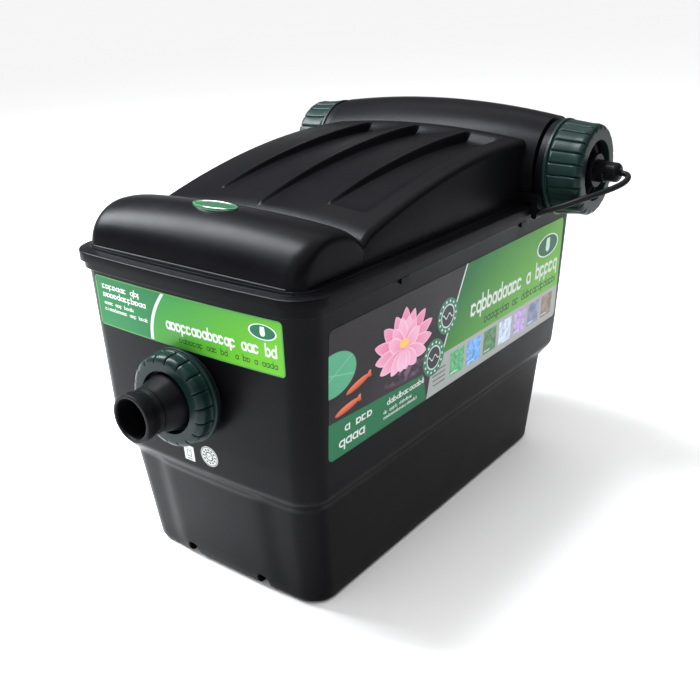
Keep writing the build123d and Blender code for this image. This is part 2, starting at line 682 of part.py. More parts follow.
def end_cap(side, boss_r, boss_out, sleeve_hole):
    """Cap that closes one end: a flange under the nut, a grooved pilot in the bore, a boss outside."""
    pilot_x = cap_x - pilot_l
    points = [
        (side * pilot_x, 0.01),
        (side * pilot_x, pilot_r - 0.1),
        (side * (pilot_x + 3.0), pilot_r - 0.1),
        (side * (pilot_x + 3.0), pilot_r - 2.6),
        (side * (pilot_x + 6.2), pilot_r - 2.6),
        (side * (pilot_x + 6.2), pilot_r - 0.1),
        (side * cap_x, pilot_r - 0.1),
        (side * cap_x, cap_flange_r),
        (side * cap_front, cap_flange_r),
        (side * cap_front, uv_nut_hole_r - 2),
        (side * (cap_front - 2.0), uv_nut_hole_r - 4),
        (side * (cap_front - 2.0), boss_r + 2),
        (side * boss_out, boss_r),
        (side * boss_out, 0.01),
    ]
    with BuildPart() as cap:
        with BuildSketch(Plane(origin=(0, uv_y, uv_z), x_dir=(1, 0, 0), z_dir=(0, -1, 0))):
            with BuildLine():
                Polyline(*points, close=True)
            make_face()
        revolve(axis=Axis((0, uv_y, uv_z), (1, 0, 0)))
        add(along_x(side * (pilot_x - 1), side * (pilot_x + 10.5), sleeve_hole), mode=Mode.SUBTRACT)
    return cap.part


with BuildPart() as lamp_cap:
    add(end_cap(1, 17.5, gland_x, sleeve_r + 3.3))
    add(along_x(160, 200, 3.6), mode=Mode.SUBTRACT)
lamp_cap.part.label = "lamp_cap"
export_step(lamp_cap.part, "parts/lamp_cap.step")

with BuildPart() as blank_cap:
    add(end_cap(-1, 17.0, 180.0, sleeve_r + 6))
blank_cap.part.label = "blank_cap"
export_step(blank_cap.part, "parts/blank_cap.step")

for side, name in ((1, "lamp"), (-1, "blank")):
    cap_seal = ring(x_plane(side * (cap_x - pilot_l + 4.6)), pilot_r - 1.2, 1.3)
    cap_seal.label = f"{name}_cap_oring"
    export_step(cap_seal, f"parts/{name}_cap_oring.step")
    slip_ring = along_x(side * slip_ring_x, side * (slip_ring_x + slip_ring_t), 42.0, 35.0)
    slip_ring.label = f"{name}_slip_ring"
    export_step(slip_ring, f"parts/{name}_slip_ring.step")
    collar = screwed(
        grip_nut(uv_nut_x - nut_start, uv_nut_lip_r, uv_nut_r, uv_nut_r - 2.1, uv_nut_round,
                 uv_nut_hole_r, thread_r + running, uv_nut_x - slip_ring_x - slip_ring_t - 0.3, 24),
        side * nut_start, uv_y, uv_z, (side, 0, 0))
    collar.label = f"{name}_union_nut"
    export_step(collar, f"parts/{name}_union_nut.step")

# ------------------------------------------------------------------ lamp and its sleeve
with BuildPart() as quartz_sleeve:
    add(along_x(sleeve_shut_x + sleeve_r, sleeve_open_x, sleeve_r))
    with Locations((sleeve_shut_x + sleeve_r, uv_y, uv_z)):
        Sphere(sleeve_r)
    add(along_x(sleeve_shut_x + sleeve_r, sleeve_open_x + 1, sleeve_r - sleeve_wall), mode=Mode.SUBTRACT)
    with Locations((sleeve_shut_x + sleeve_r, uv_y, uv_z)):
        Sphere(sleeve_r - sleeve_wall, mode=Mode.SUBTRACT)
quartz_sleeve.part.label = "quartz_sleeve"
export_step(quartz_sleeve.part, "parts/quartz_sleeve.step")

with BuildPart() as quartz_oring:
    add(ring(x_plane(cap_x - pilot_l + 1.8), sleeve_r + 1.6, 1.5))
quartz_oring.part.label = "quartz_oring"
export_step(quartz_oring.part, "parts/quartz_oring.step")

with BuildPart() as sleeve_support:
    add(along_x(-138.0, -134.0, chamber_r - 0.1, chamber_r - 2.4))
    add(along_x(-138.0, -134.0, sleeve_r + 2.6, sleeve_r + 0.3))
    with BuildSketch(x_plane(-138.0)):
        with PolarLocations(0, 3):
            with Locations((sleeve_r + 6.2, 0)):
                Rectangle(9.0, 3.0)
    extrude(amount=4)
sleeve_support.part.label = "sleeve_support"
export_step(sleeve_support.part, "parts/sleeve_support.step")

lamp_r = 8.0
with BuildPart() as uv_lamp:
    add(along_x(-122.0, 141.6, lamp_r))
    fillet(uv_lamp.faces().sort_by(Axis.X)[0].edges(), 6.0)
uv_lamp.part.label = "uv_lamp"
export_step(uv_lamp.part, "parts/uv_lamp.step")

with BuildPart() as lamp_base:
    add(along_x(141.8, 153.0, 9.6))
    add(along_x(153.0, 158.0, 5.5))
    chamfer(lamp_base.faces().sort_by(Axis.X)[0].edges(), 1.0)
lamp_base.part.label = "lamp_base"
export_step(lamp_base.part, "parts/lamp_base.step")

with BuildPart() as lamp_holder:
    add(along_x(154.0, 168.0, 10.0))
    add(along_x(150.0, 158.4, 5.9), mode=Mode.SUBTRACT)
lamp_holder.part.label = "lamp_holder"
export_step(lamp_holder.part, "parts/lamp_holder.step")

# ------------------------------------------------------------------ gland, lamp lead and its duct
with BuildPart() as cable_gland:
    with BuildSketch(x_plane(gland_x)):
        RegularPolygon(12.4, 6)
    extrude(amount=gland_hex_l)
    chamfer(cable_gland.faces().sort_by(Axis.X)[-1].edges(), 0.8)
    add(along_x(gland_x + gland_hex_l, gland_x + gland_hex_l + 7, 7.6))
    add(along_x(gland_x - 1, gland_x + 30, lead_r + 0.4), mode=Mode.SUBTRACT)
cable_gland.part.label = "cable_gland"
export_step(cable_gland.part, "parts/cable_gland.step")

gland_nut_x = gland_x + gland_hex_l + 0.2
with BuildPart() as gland_nut:
    add(along_x(gland_nut_x, gland_nut_x + gland_nut_l, 10.4))
    fillet(gland_nut.faces().sort_by(Axis.X)[-1].edges(), 5.6)
    with BuildSketch(x_plane(gland_nut_x)):
        with PolarLocations(10.8, 10):
            Circle(0.9)
    extrude(amount=8.0, mode=Mode.SUBTRACT)
    add(along_x(gland_nut_x - 1, gland_nut_x + 7.2, 7.7), mode=Mode.SUBTRACT)
    add(along_x(gland_x, gland_x + 30, lead_r + 0.4), mode=Mode.SUBTRACT)
gland_nut.part.label = "gland_nut"
export_step(gland_nut.part, "parts/gland_nut.step")

lead_route = (
    (gland_nut_x + gland_nut_l, uv_y, uv_z),
    (219.0, 178.4, 351.3),
    (223.2, 174.4, 349.6),
    (224.2, 167.6, 346.9),
    (221.0, 159.6, 343.2),
    (210.0, 148.2, 337.6),
    (191.2, 134.0, 329.6),
    (170.0, 126.6, 320.0),
    (skirt_x + 6.6, 122.6, 312.4),
)


def lead_radii(route):
    """Largest arc for each corner: 0.45 of the shorter run over the tangent of half the turn."""
    points = [Vector(*point) for point in route]
    radii = []
    for before, corner, after in zip(points, points[1:], points[2:]):
        shorter = min((corner - before).length, (after - corner).length)
        turn = (corner - before).get_angle(after - corner)
        radii.append(0.45 * shorter / tan(radians(turn / 2)))
    return radii


print("lead arc radii", [round(radius, 1) for radius in lead_radii(lead_route)])
with BuildPart() as lamp_lead:
    with BuildLine() as lead_path:
        FilletPolyline(*lead_route, radius=lead_radii(lead_route))
    with BuildSketch(Plane(origin=lead_path.line @ 0, z_dir=lead_path.line % 0)):
        Circle(lead_r)
    sweep(path=lead_path.line)
lead_length = sum(edge.length for edge in lead_path.line.edges())
print("lead length", round(lead_length, 1))
print("volume over section times length", lamp_lead.part.volume / (pi * lead_r**2 * lead_length))
lamp_lead.part.label = "lamp_lead"
export_step(lamp_lead.part, "parts/lamp_lead.step")

with BuildPart() as lead_duct:
    with Locations((skirt_x + 3.4, duct_y, 316.4)):
        Box(6.4, 11.6, 20.0)
    fillet(lead_duct.edges().filter_by(Axis.Y), 2.5)
    with Locations((duct_x, duct_y, duct_run_z + 1.2)):
        Box(23.0, 10.0, 9.2)
    add(lid.part, mode=Mode.SUBTRACT)
    add(crowned(seat_gap, cowl_x + groove_w), mode=Mode.SUBTRACT)
    lead_end = Plane(origin=lead_route[-1], z_dir=Vector(*lead_route[-1]) - Vector(*lead_route[-2]))
    add(turned_bar(lead_end.offset(-6), 6.0, lead_r + 0.3, 0), mode=Mode.SUBTRACT)
lead_duct.part.label = "lead_duct"
export_step(lead_duct.part, "parts/lead_duct.step")

# ------------------------------------------------------------------ ballast under the hump
with BuildPart() as ballast_box:
    with BuildSketch(Plane.XY.offset(hanger_top_z)):
        RectangleRounded(ballast_l, ballast_w, 5.0)
    extrude(amount=-ballast_h)
    fillet(ballast_box.faces().sort_by(Axis.Z)[0].edges(), 3.0)
    with BuildSketch(Plane.XY.offset(hanger_top_z)):
        with GridLocations(hanger_pitch_x, hanger_pitch_y, 2, 2):
            Circle(2.3)
    extrude(amount=-ballast_h, mode=Mode.SUBTRACT)
ballast_box.part.label = "ballast_box"
export_step(ballast_box.part, "parts/ballast_box.step")

with BuildPart() as ballast_screws:
    with BuildSketch(Plane.XY.offset(hanger_top_z - ballast_h)):
        with GridLocations(hanger_pitch_x, hanger_pitch_y, 2, 2):
            Circle(4.2)
    extrude(amount=-2.4)
    with BuildSketch(Plane.XY.offset(hanger_top_z - ballast_h)):
        with GridLocations(hanger_pitch_x, hanger_pitch_y, 2, 2):
            Circle(2.0)
    extrude(amount=ballast_h)
ballast_screws.part.label = "ballast_screws"
export_step(ballast_screws.part, "parts/ballast_screws.step")

with BuildPart() as mains_gland:
    add(along_x(-103.2, -hump_x - 0.2, 6.0, 3.6, mains_y, mains_z))
    add(along_x(-hump_x - 0.2, -hump_x - 5, 10.0, 3.6, mains_y, mains_z))
    add(along_x(-hump_x - 5, -hump_x - 15, 8.6, 3.6, mains_y, mains_z))
    fillet(mains_gland.faces().sort_by(Axis.X)[0].outer_wire().edges(), 3.0)
mains_gland.part.label = "mains_gland"
export_step(mains_gland.part, "parts/mains_gland.step")

# ------------------------------------------------------------------ inlet union
inlet_flange_y = inlet_face_y + 0.3
inlet_flange_front = inlet_flange_y + 3.5
with BuildPart() as inlet_hose_tail:
    with BuildSketch(Plane(origin=(inlet_x, 0, inlet_z), x_dir=(0, 1, 0), z_dir=(-1, 0, 0))):
        with BuildLine():
            Polyline(
                (inlet_face_y - 8.0, 12.5),
                (inlet_face_y - 8.0, 21.4),
                (inlet_face_y - 5.6, 21.4),
                (inlet_face_y - 5.6, 19.4),
                (inlet_face_y - 2.8, 19.4),
                (inlet_face_y - 2.8, 21.4),
                (inlet_flange_y, 21.4),
                (inlet_flange_y, 25.6),
                (inlet_flange_front, 25.6),
                (inlet_flange_front, 18.0),
                (inlet_flange_front + 5.0, 16.0),
                (inlet_tail_end_y - 24.0, 16.0),
                (inlet_tail_end_y - 23.0, 17.0),
                (inlet_tail_end_y - 17.0, 16.0),
                (inlet_tail_end_y - 9.0, 16.0),
                (inlet_tail_end_y - 8.0, 17.0),
                (inlet_tail_end_y - 1.0, 17.0),
                (inlet_tail_end_y, 16.0),
                (inlet_tail_end_y, 12.5),
                close=True,
            )
        make_face()
    revolve(axis=Axis((inlet_x, 0, inlet_z), (0, 1, 0)))
inlet_hose_tail.part.label = "inlet_hose_tail"
export_step(inlet_hose_tail.part, "parts/inlet_hose_tail.step")

inlet_seal_plane = Plane(origin=(inlet_x, inlet_face_y - 4.2, inlet_z), x_dir=(1, 0, 0), z_dir=(0, 1, 0))
with BuildPart() as inlet_oring:
    add(ring(inlet_seal_plane, 20.7, 1.2))
inlet_oring.part.label = "inlet_oring"
export_step(inlet_oring.part, "parts/inlet_oring.step")

inlet_nut_start = inlet_stop_y + 0.6
with BuildPart() as inlet_union_nut:
    add(screwed(
        grip_nut(inlet_nut_y - inlet_nut_start, inlet_nut_r + 1, inlet_nut_r, inlet_nut_r - 1,
                 inlet_nut_round, inlet_hole_r, inlet_thread_r + running,
                 inlet_nut_y - inlet_flange_front - 0.3, 16),
        inlet_x, inlet_nut_start, inlet_z, (0, 1, 0)))
inlet_union_nut.part.label = "inlet_union_nut"
export_step(inlet_union_nut.part, "parts/inlet_union_nut.step")
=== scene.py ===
"""Looks of the box pond filter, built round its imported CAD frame.

Shapes are worked out in millimetres in the CAD's own frame and written to meshes in metres."""

import json
import math

import bmesh
import bpy
import numpy as np
from mathutils import Matrix, Vector


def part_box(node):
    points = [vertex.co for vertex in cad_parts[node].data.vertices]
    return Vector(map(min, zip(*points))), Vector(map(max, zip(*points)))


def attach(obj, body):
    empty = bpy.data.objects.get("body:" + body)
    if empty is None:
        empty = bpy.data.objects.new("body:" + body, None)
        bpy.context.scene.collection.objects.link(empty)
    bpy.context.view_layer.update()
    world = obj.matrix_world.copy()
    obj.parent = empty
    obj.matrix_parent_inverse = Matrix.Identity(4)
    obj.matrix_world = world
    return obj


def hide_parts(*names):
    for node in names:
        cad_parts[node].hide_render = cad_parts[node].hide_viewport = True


MM = 0.001

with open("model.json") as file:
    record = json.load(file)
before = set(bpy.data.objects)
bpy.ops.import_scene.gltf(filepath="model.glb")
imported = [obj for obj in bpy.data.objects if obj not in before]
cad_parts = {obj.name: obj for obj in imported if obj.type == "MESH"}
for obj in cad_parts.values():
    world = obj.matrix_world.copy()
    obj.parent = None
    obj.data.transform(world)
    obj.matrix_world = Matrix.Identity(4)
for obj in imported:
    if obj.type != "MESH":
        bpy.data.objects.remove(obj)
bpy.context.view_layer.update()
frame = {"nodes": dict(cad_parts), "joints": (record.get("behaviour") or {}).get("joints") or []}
nodes = frame["nodes"]


# ---------------- numbers taken from the frame
def box_mm(node):
    """Lowest and highest corner of a CAD node, in millimetres."""
    low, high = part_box(node)
    return np.array(low) / MM, np.array(high) / MM


def joint_point(name):
    """Point on a joint's axis, in millimetres."""
    joint = next(j for j in frame["joints"] if j["name"] == name)
    return np.array(joint["pos_m"]) / MM


tub_top = box_mm("tub")[1][2]
roll_crest_z = box_mm("lid_badge")[0][2] + 1.8
uv_y, uv_z = joint_point("lamp_nut_turn")[1:]
outlet_z = joint_point("outlet_nut_turn")[2]
inlet_x, inlet_z = joint_point("inlet_nut_turn")[[0, 2]]

WALL = 3.0
END_BOW = 4.5
CORNER = 24.0
SKIRT = np.array((143.0, 257.5))
SKIRT_LOW, SKIRT_TOP, DECK = 311.0, 320.0, 323.0


# ---------------- mesh helpers
def smooth_step(value, low, high):
    """0 below low, 1 above high and an even S between them."""
    share = np.clip((value - low) / (high - low), 0, 1)
    return share * share * (3 - 2 * share)


def superellipse(share, power):
    """Height over a base, from 1 in the middle to 0 where share is 1 or more."""
    return np.maximum(1 - np.abs(share) ** power, 0) ** (1 / power)


def placed(name, data):
    """New object of a mesh, curve, lamp or camera, put in the scene."""
    thing = bpy.data.objects.new(name, data)
    bpy.context.scene.collection.objects.link(thing)
    return thing


def mesh_object(name, points, faces, sharp_deg=32.0):
    """Object of a mesh given in millimetres, shaded smooth but for edges sharper than an angle."""
    mesh = bpy.data.meshes.new(name)
    mesh.from_pydata((np.asarray(points) * MM).tolist(), [], [list(map(int, face)) for face in faces])
    mesh.validate()
    tidy = bmesh.new()
    tidy.from_mesh(mesh)
    bmesh.ops.recalc_face_normals(tidy, faces=tidy.faces)
    tidy.to_mesh(mesh)
    tidy.free()
    mesh.shade_smooth()
    mesh.set_sharp_from_angle(angle=math.radians(sharp_deg))
    return placed(name, mesh)


def grid_faces(rows, columns, closed_rows=False, closed_columns=True):
    """Quads of a grid of points kept row after row."""
    faces = []
    for row in range(rows if closed_rows else rows - 1):
        below, above = row * columns, (row + 1) % rows * columns
        for column in range(columns if closed_columns else columns - 1):
            beside = (column + 1) % columns
            faces.append((below + column, below + beside, above + beside, above + column))
    return faces


def stacked(name, loops, sharp_deg=32.0, through=False):
    """Closed mesh of a stack of loops with the same number of points. Its ends are capped, or joined
    to each other where the stack goes through and comes back."""
    loops = np.asarray(loops)
    rows, columns = loops.shape[:2]
    faces = grid_faces(rows, columns, closed_rows=through)
    if not through:
        faces.append(tuple(range(columns)))
        faces.append(tuple(range((rows - 1) * columns, rows * columns)))
    return mesh_object(name, loops.reshape(-1, 3), faces, sharp_deg)


def arcs(corners, steps=4):
    """Closed outline of (a, b, radius) corners, with each radius drawn as an arc."""
    outline = []
    count = len(corners)
    for index, (a, b, radius) in enumerate(corners):
        here = np.array((a, b), float)
        before = np.array(corners[index - 1][:2], float) - here
        after = np.array(corners[(index + 1) % count][:2], float) - here
        if radius <= 0:
            outline.append(here)
            continue
        before_unit, after_unit = before / np.linalg.norm(before), after / np.linalg.norm(after)
        half = math.acos(np.clip(before_unit @ after_unit, -1, 1)) / 2
        run = min(radius / math.tan(half), 0.49 * np.linalg.norm(before), 0.49 * np.linalg.norm(after))
        middle = (before_unit + after_unit) / np.linalg.norm(before_unit + after_unit)
        centre = here + middle * run / math.cos(half)
        start, stop = here + before_unit * run - centre, here + after_unit * run - centre
        turn = math.atan2(start[0] * stop[1] - start[1] * stop[0], start @ stop)
        for step in range(steps + 1):
            angle = turn * step / steps
            spun = (start[0] * math.cos(angle) - start[1] * math.sin(angle),
                    start[0] * math.sin(angle) + start[1] * math.cos(angle))
            outline.append(centre + spun)
    return np.array(outline)


def turned(name, origin, along, outline, segments=96, shape=None, sharp_deg=32.0):
    """Ring-shaped piece: a closed outline of (distance, radius) turned about an axis. With shape,
    each radius becomes shape(distance, radius, angle)."""
    along = Vector(along).normalized()
    across = along.orthogonal().normalized()
    up = along.cross(across)
    axis, across, up = np.array(along), np.array(across), np.array(up)
    angles = np.arange(segments) * 2 * math.pi / segments
    distance, radius = outline[:, 0, None], outline[:, 1, None] + 0 * angles
    if shape:
        radius = shape(distance, radius, angles)
    points = (np.asarray(origin) + distance[..., None] * axis
              + (radius * np.cos(angles))[..., None] * across
              + (radius * np.sin(angles))[..., None] * up)
    return stacked(name, points, sharp_deg, through=True)


def settled(piece):
    """Applies a piece's modifiers to its mesh."""
    graph = bpy.context.evaluated_depsgraph_get()
    mesh = bpy.data.meshes.new_from_object(piece.evaluated_get(graph))
    piece.modifiers.clear()
    piece.data = mesh
    return piece


def combined(piece, others, operation, sharp_deg=32.0):
    """Joins other closed meshes to a piece, or cuts them out of it, and removes them."""
    for other in others:
        step = piece.modifiers.new(operation.lower(), "BOOLEAN")
        step.operation = operation
        step.solver = "MANIFOLD"
        step.object = other
        settled(piece)
        bpy.data.objects.remove(other)
    piece.data.shade_smooth()
    piece.data.set_sharp_from_angle(angle=math.radians(sharp_deg))
    return piece


def block(name, low, high):
    """Plain closed box, used only to cut other pieces."""
    (x0, y0, z0), (x1, y1, z1) = low, high
    ring = [(x0, y0), (x1, y0), (x1, y1), (x0, y1)]
    return stacked(name, [[(x, y, z) for x, y in ring] for z in (z0, z1)])


def rod(name, origin, along, length, radius, segments=64):
    """Plain closed bar, used only to cut or join other pieces."""
    along = Vector(along).normalized()
    across = np.array(along.orthogonal().normalized())
    up = np.cross(np.array(along), across)
    angles = np.arange(segments) * 2 * math.pi / segments
    circle = np.cos(angles)[:, None] * across * radius + np.sin(angles)[:, None] * up * radius
    start = np.asarray(origin, float)
    return stacked(name, [circle + start, circle + start + np.array(along) * length])


def finish_piece(piece, body, material, stands_for=()):
    """Gives a piece its material and its place in the frame."""
    piece.data.materials.clear()
    piece.data.materials.append(material)
    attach(piece, body)
    if stands_for:
        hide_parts(*stands_for)
    return piece


# ---------------- material helpers
class Field:
    """A number that varies over a surface, made of shader nodes."""

    def __init__(self, tree, socket):
        self.tree, self.socket = tree, socket

    def math(self, operation, *others):
        node = self.tree.nodes.new("ShaderNodeMath")
        node.operation = operation
        for slot, value in zip(node.inputs, (self, *others)):
            if isinstance(value, Field):
                self.tree.links.new(value.socket, slot)
            else:
                slot.default_value = value
        return Field(self.tree, node.outputs[0])

    def __add__(self, other):
        return self.math("ADD", other)

    def __sub__(self, other):
        return self.math("SUBTRACT", other)

    def __mul__(self, other):
        return self.math("MULTIPLY", other)

    def __truediv__(self, other):
        return self.math("DIVIDE", other)

    __radd__, __rmul__ = __add__, __mul__

    def __rsub__(self, other):
        return self * -1.0 + other

    def __abs__(self):
        return self.math("ABSOLUTE")

    def least(self, other):
        return self.math("MINIMUM", other)

    def most(self, other):
        return self.math("MAXIMUM", other)

    def sin(self):
        return self.math("SINE")

    def root(self):
        return self.most(0.0).math("SQRT")

    def between(self, low, high):
        """0 at low and 1 at high, held outside them; low may be the larger."""
        rate = 1.0 / (high - low)
        return self.math("MULTIPLY_ADD", rate, -low * rate).least(1.0).most(0.0)


def new_material(name, roughness, **sockets):
    """Principled material, its main node, its node tree and the place on the object as a vector socket.
    Other settings go by the socket's name with _ for spaces."""
    material = bpy.data.materials.new(name)
    material.use_nodes = True
    shader = material.node_tree.nodes["Principled BSDF"]
    shader.inputs["Roughness"].default_value = roughness
    for key, value in sockets.items():
        shader.inputs[key.replace("_", " ")].default_value = value
    tree = material.node_tree
    return material, shader, tree, tree.nodes.new("ShaderNodeTexCoord").outputs["Object"]


def noise(tree, where, size_mm, detail=3.0, roughness=0.55, stretch=None):
    """Cloudy pattern from 0 to 1 whose lumps are about size_mm across."""
    if stretch:
        mapping = tree.nodes.new("ShaderNodeMapping")
        mapping.inputs["Scale"].default_value = stretch
        tree.links.new(where, mapping.inputs["Vector"])
        where = mapping.outputs[0]
    node = tree.nodes.new("ShaderNodeTexNoise")
    node.inputs["Scale"].default_value = 1000.0 / size_mm
    node.inputs["Detail"].default_value = detail
    node.inputs["Roughness"].default_value = roughness
    tree.links.new(where, node.inputs["Vector"])
    return Field(tree, node.outputs["Fac"])


def mixed(tree, share, first, second):
    """Colour that goes from first to second as share goes from 0 to 1."""
    node = tree.nodes.new("ShaderNodeMix")
    node.data_type = "RGBA"
    slots = [socket for socket in node.inputs if socket.type == "RGBA"]
    tree.links.new(share.socket, node.inputs[0])
    for slot, value in zip(slots, (first, second)):
        if isinstance(value, bpy.types.NodeSocket):
            tree.links.new(value, slot)
        else:
            slot.default_value = (*value[:3], 1.0)
    return next(socket for socket in node.outputs if socket.type == "RGBA")


def coloured(shader, colour):
    """Links a colour to a material's main node."""
    shader.id_data.links.new(colour, shader.inputs["Base Color"])


def edges(tree, radius_mm):
    """1 along edges tighter than a radius, 0 on open faces."""
    bevel = tree.nodes.new("ShaderNodeBevel")
    bevel.samples = 3
    bevel.inputs["Radius"].default_value = radius_mm * MM
    geometry = tree.nodes.new("ShaderNodeNewGeometry")
    dot = tree.nodes.new("ShaderNodeVectorMath")
    dot.operation = "DOT_PRODUCT"
    tree.links.new(bevel.outputs[0], dot.inputs[0])
    tree.links.new(geometry.outputs["Normal"], dot.inputs[1])
    return Field(tree, dot.outputs["Value"]).between(0.995, 0.86)


def bumped(tree, shader, height, strength, distance_mm):
    """Lifts a surface's normal by a height field."""
    bump = tree.nodes.new("ShaderNodeBump")
    bump.inputs["Strength"].default_value = strength
    bump.inputs["Distance"].default_value = distance_mm * MM
    tree.links.new(height.socket, bump.inputs["Height"])
    tree.links.new(bump.outputs[0], shader.inputs["Normal"])


def moulded(name, colour, roughness, grain_mm=0.8, bump=0.25, edge_highlight=0.35, lighter=2.2, **sockets):
    """Moulded plastic or rubber: fine grain, cloudy sheen, faint flow marks, painted highlights along edges.
    """
    material, shader, tree, where = new_material(name, roughness, **sockets)
    cloud = noise(tree, where, 60.0, 3.0)
    flow = noise(tree, where, 14.0, 4.0, stretch=(1.0, 0.35, 1.0))
    grain = noise(tree, where, grain_mm, 2.0, 0.6)
    specks = noise(tree, where, 2.6, 4.0, 0.7).between(0.66, 0.80)
    pale = [min(1.0, channel * lighter + 0.006) for channel in colour]
    shade = mixed(tree, cloud.between(0.3, 0.75) * 0.35, colour, [channel * 1.35 for channel in colour])
    # a noise-broken mask lightens the colour along edges as a painted highlight, plus scattered pale specks
    # in the plastic
    edge_highlight_and_specks = (edges(tree, 1.2) * edge_highlight * noise(tree, where, 5.0).between(0.25, 0.7) + specks * 0.10)
    coloured(shader, mixed(tree, edge_highlight_and_specks, shade, pale))
    rough = (cloud - 0.5) * 0.16 + (flow - 0.5) * 0.10 + (grain - 0.5) * 0.08 + roughness
    tree.links.new((rough + specks * 0.08).socket, shader.inputs["Roughness"])
    bumped(tree, shader, grain + flow * 0.6, bump, 0.12)
    return material


def metal(name, colour, roughness):
    """Drawn or turned metal with fine marks across it."""
    material, shader, tree, where = new_material(name, roughness, Metallic=1.0)
    marks = noise(tree, where, 0.6, 3.0, stretch=(1.0, 1.0, 0.15))
    dull = noise(tree, where, 9.0)
    coloured(shader, mixed(tree, dull, colour, [c * 0.7 for c in colour]))
    tree.links.new((marks * 0.2 + dull * 0.15 + roughness).socket, shader.inputs["Roughness"])
    bumped(tree, shader, marks, 0.3, 0.05)
    return material


def open_foam(name, colour, pore_mm):
    """Open-cell foam: pores painted dark as shade between lighter struts."""
    material, shader, tree, where = new_material(name, 0.9)
    cells = tree.nodes.new("ShaderNodeTexVoronoi")
    cells.feature = "DISTANCE_TO_EDGE"
    cells.inputs["Scale"].default_value = 1000.0 / pore_mm
    tree.links.new(where, cells.inputs["Vector"])
    strut = Field(tree, cells.outputs["Distance"]).between(0.30, 0.04)
    dirt = noise(tree, where, 25.0, 5.0).between(0.45, 0.8)
    # the pores get a quarter of the foam's colour: painted shade in the holes
    shade = mixed(tree, strut, [c * 0.25 for c in colour], colour)
    coloured(shader, mixed(tree, dirt * 0.35, shade, (0.05, 0.045, 0.03)))
    tree.links.new((dirt * 0.08 + 0.88).socket, shader.inputs["Roughness"])
    bumped(tree, shader, strut, 0.9, 0.6)
    return material


def glass(name, colour, alpha):
    """Thin clear glass with a faint film on it."""
    material, shader, tree, where = new_material(name, 0.04, IOR=1.46, Transmission_Weight=0.9)
    film = noise(tree, where, 12.0, 4.0)
    coloured(shader, mixed(tree, film, colour, [c * alpha for c in colour]))
    tree.links.new((film * 0.08 + 0.03).socket, shader.inputs["Roughness"])
    bumped(tree, shader, film, 0.05, 0.05)
    return material


# ---------------- outlines shared by the tub and the lid
def footprint(half_x, half_y, corner, height):
    """Loop round a rectangle with rounded corners and bowed short ends."""
    turn = np.linspace(0, math.pi / 2, 13)
    flat_x, flat_y = half_x - corner, half_y - corner
    arc_x, arc_y = flat_x + corner * np.cos(turn), flat_y + corner * np.sin(turn)
    end_x = np.linspace(flat_x, -flat_x, 26)[1:-1]
    side_y = np.linspace(-flat_y, flat_y, 14)[1:-1]
    quarter = np.stack([arc_x, arc_y], 1)
    top = np.vstack([quarter, np.stack([end_x, np.full_like(end_x, half_y)], 1),
                     quarter[::-1] * (-1, 1)])
    right = np.stack([np.full_like(side_y, half_x), side_y], 1)
    loop = np.vstack([right, top, -right, -top])
    bow = END_BOW * np.interp(height, (0, 110), (0.3, 1)) * np.maximum(1 - (loop[:, 0] / half_x) ** 2, 0)
    loop[:, 1] += np.sign(loop[:, 1]) * bow
    return np.column_stack([loop, np.full(len(loop), height)])


FOOT = 6.0
KNOT_Z = (0.0, 112.0, 127.0, 157.5, 316.0)
KNOT_X = (113.0, 119.0, 129.5, 130.8, 136.0)
KNOT_Y = (217.5, 231.9, 242.5, 245.0, 250.6)
CREASE_BLUR = np.linspace(-3.0, 3.0, 9)


def wall_half(height):
    """Half width and half length of the tub's outside at a height, with its creases softened."""
    spread = height + CREASE_BLUR
    below = FOOT - min(height, FOOT)
    foot = FOOT - math.sqrt(FOOT * FOOT - below * below)
    return (np.interp(spread, KNOT_Z, KNOT_X).mean() - foot,
            np.interp(spread, KNOT_Z, KNOT_Y).mean() - foot)


def end_panel(x, height):
    """How far the raised panel low on the tub's short ends stands out."""
    across = 1 - smooth_step(np.abs(x), 56.0, 74.0)
    up = 1 - smooth_step(height, 113.0, 121.0)
    return 2.6 * across * up * smooth_step(height, -2.0, 14.0)


def wall_loop(height, inset=0.0):
    """The tub's outline at a height."""
    half_x, half_y = wall_half(height)
    loop = footprint(half_x - inset, half_y - inset, CORNER - inset, height)
    ends = np.abs(loop[:, 1]) > half_y - CORNER - 1
    loop[:, 1] += np.sign(loop[:, 1]) * ends * end_panel(loop[:, 0], height)
    return loop


def front_wall(x, height, lift):
    """Point on the front of the tub, lifted off it."""
    half_x, half_y = wall_half(height)
    return (x, -(half_y + END_BOW * (1 - (x / half_x) ** 2) + end_panel(x, height) + lift), height)


def side_wall(y, height, lift):
    """Point on the right side of the tub, lifted off it."""
    return (wall_half(height)[0] + lift, y, height)


# ---------------- tub
CHANNEL_X, CHANNEL_W, CHANNEL_H = 47.0, 15.0, 16.0


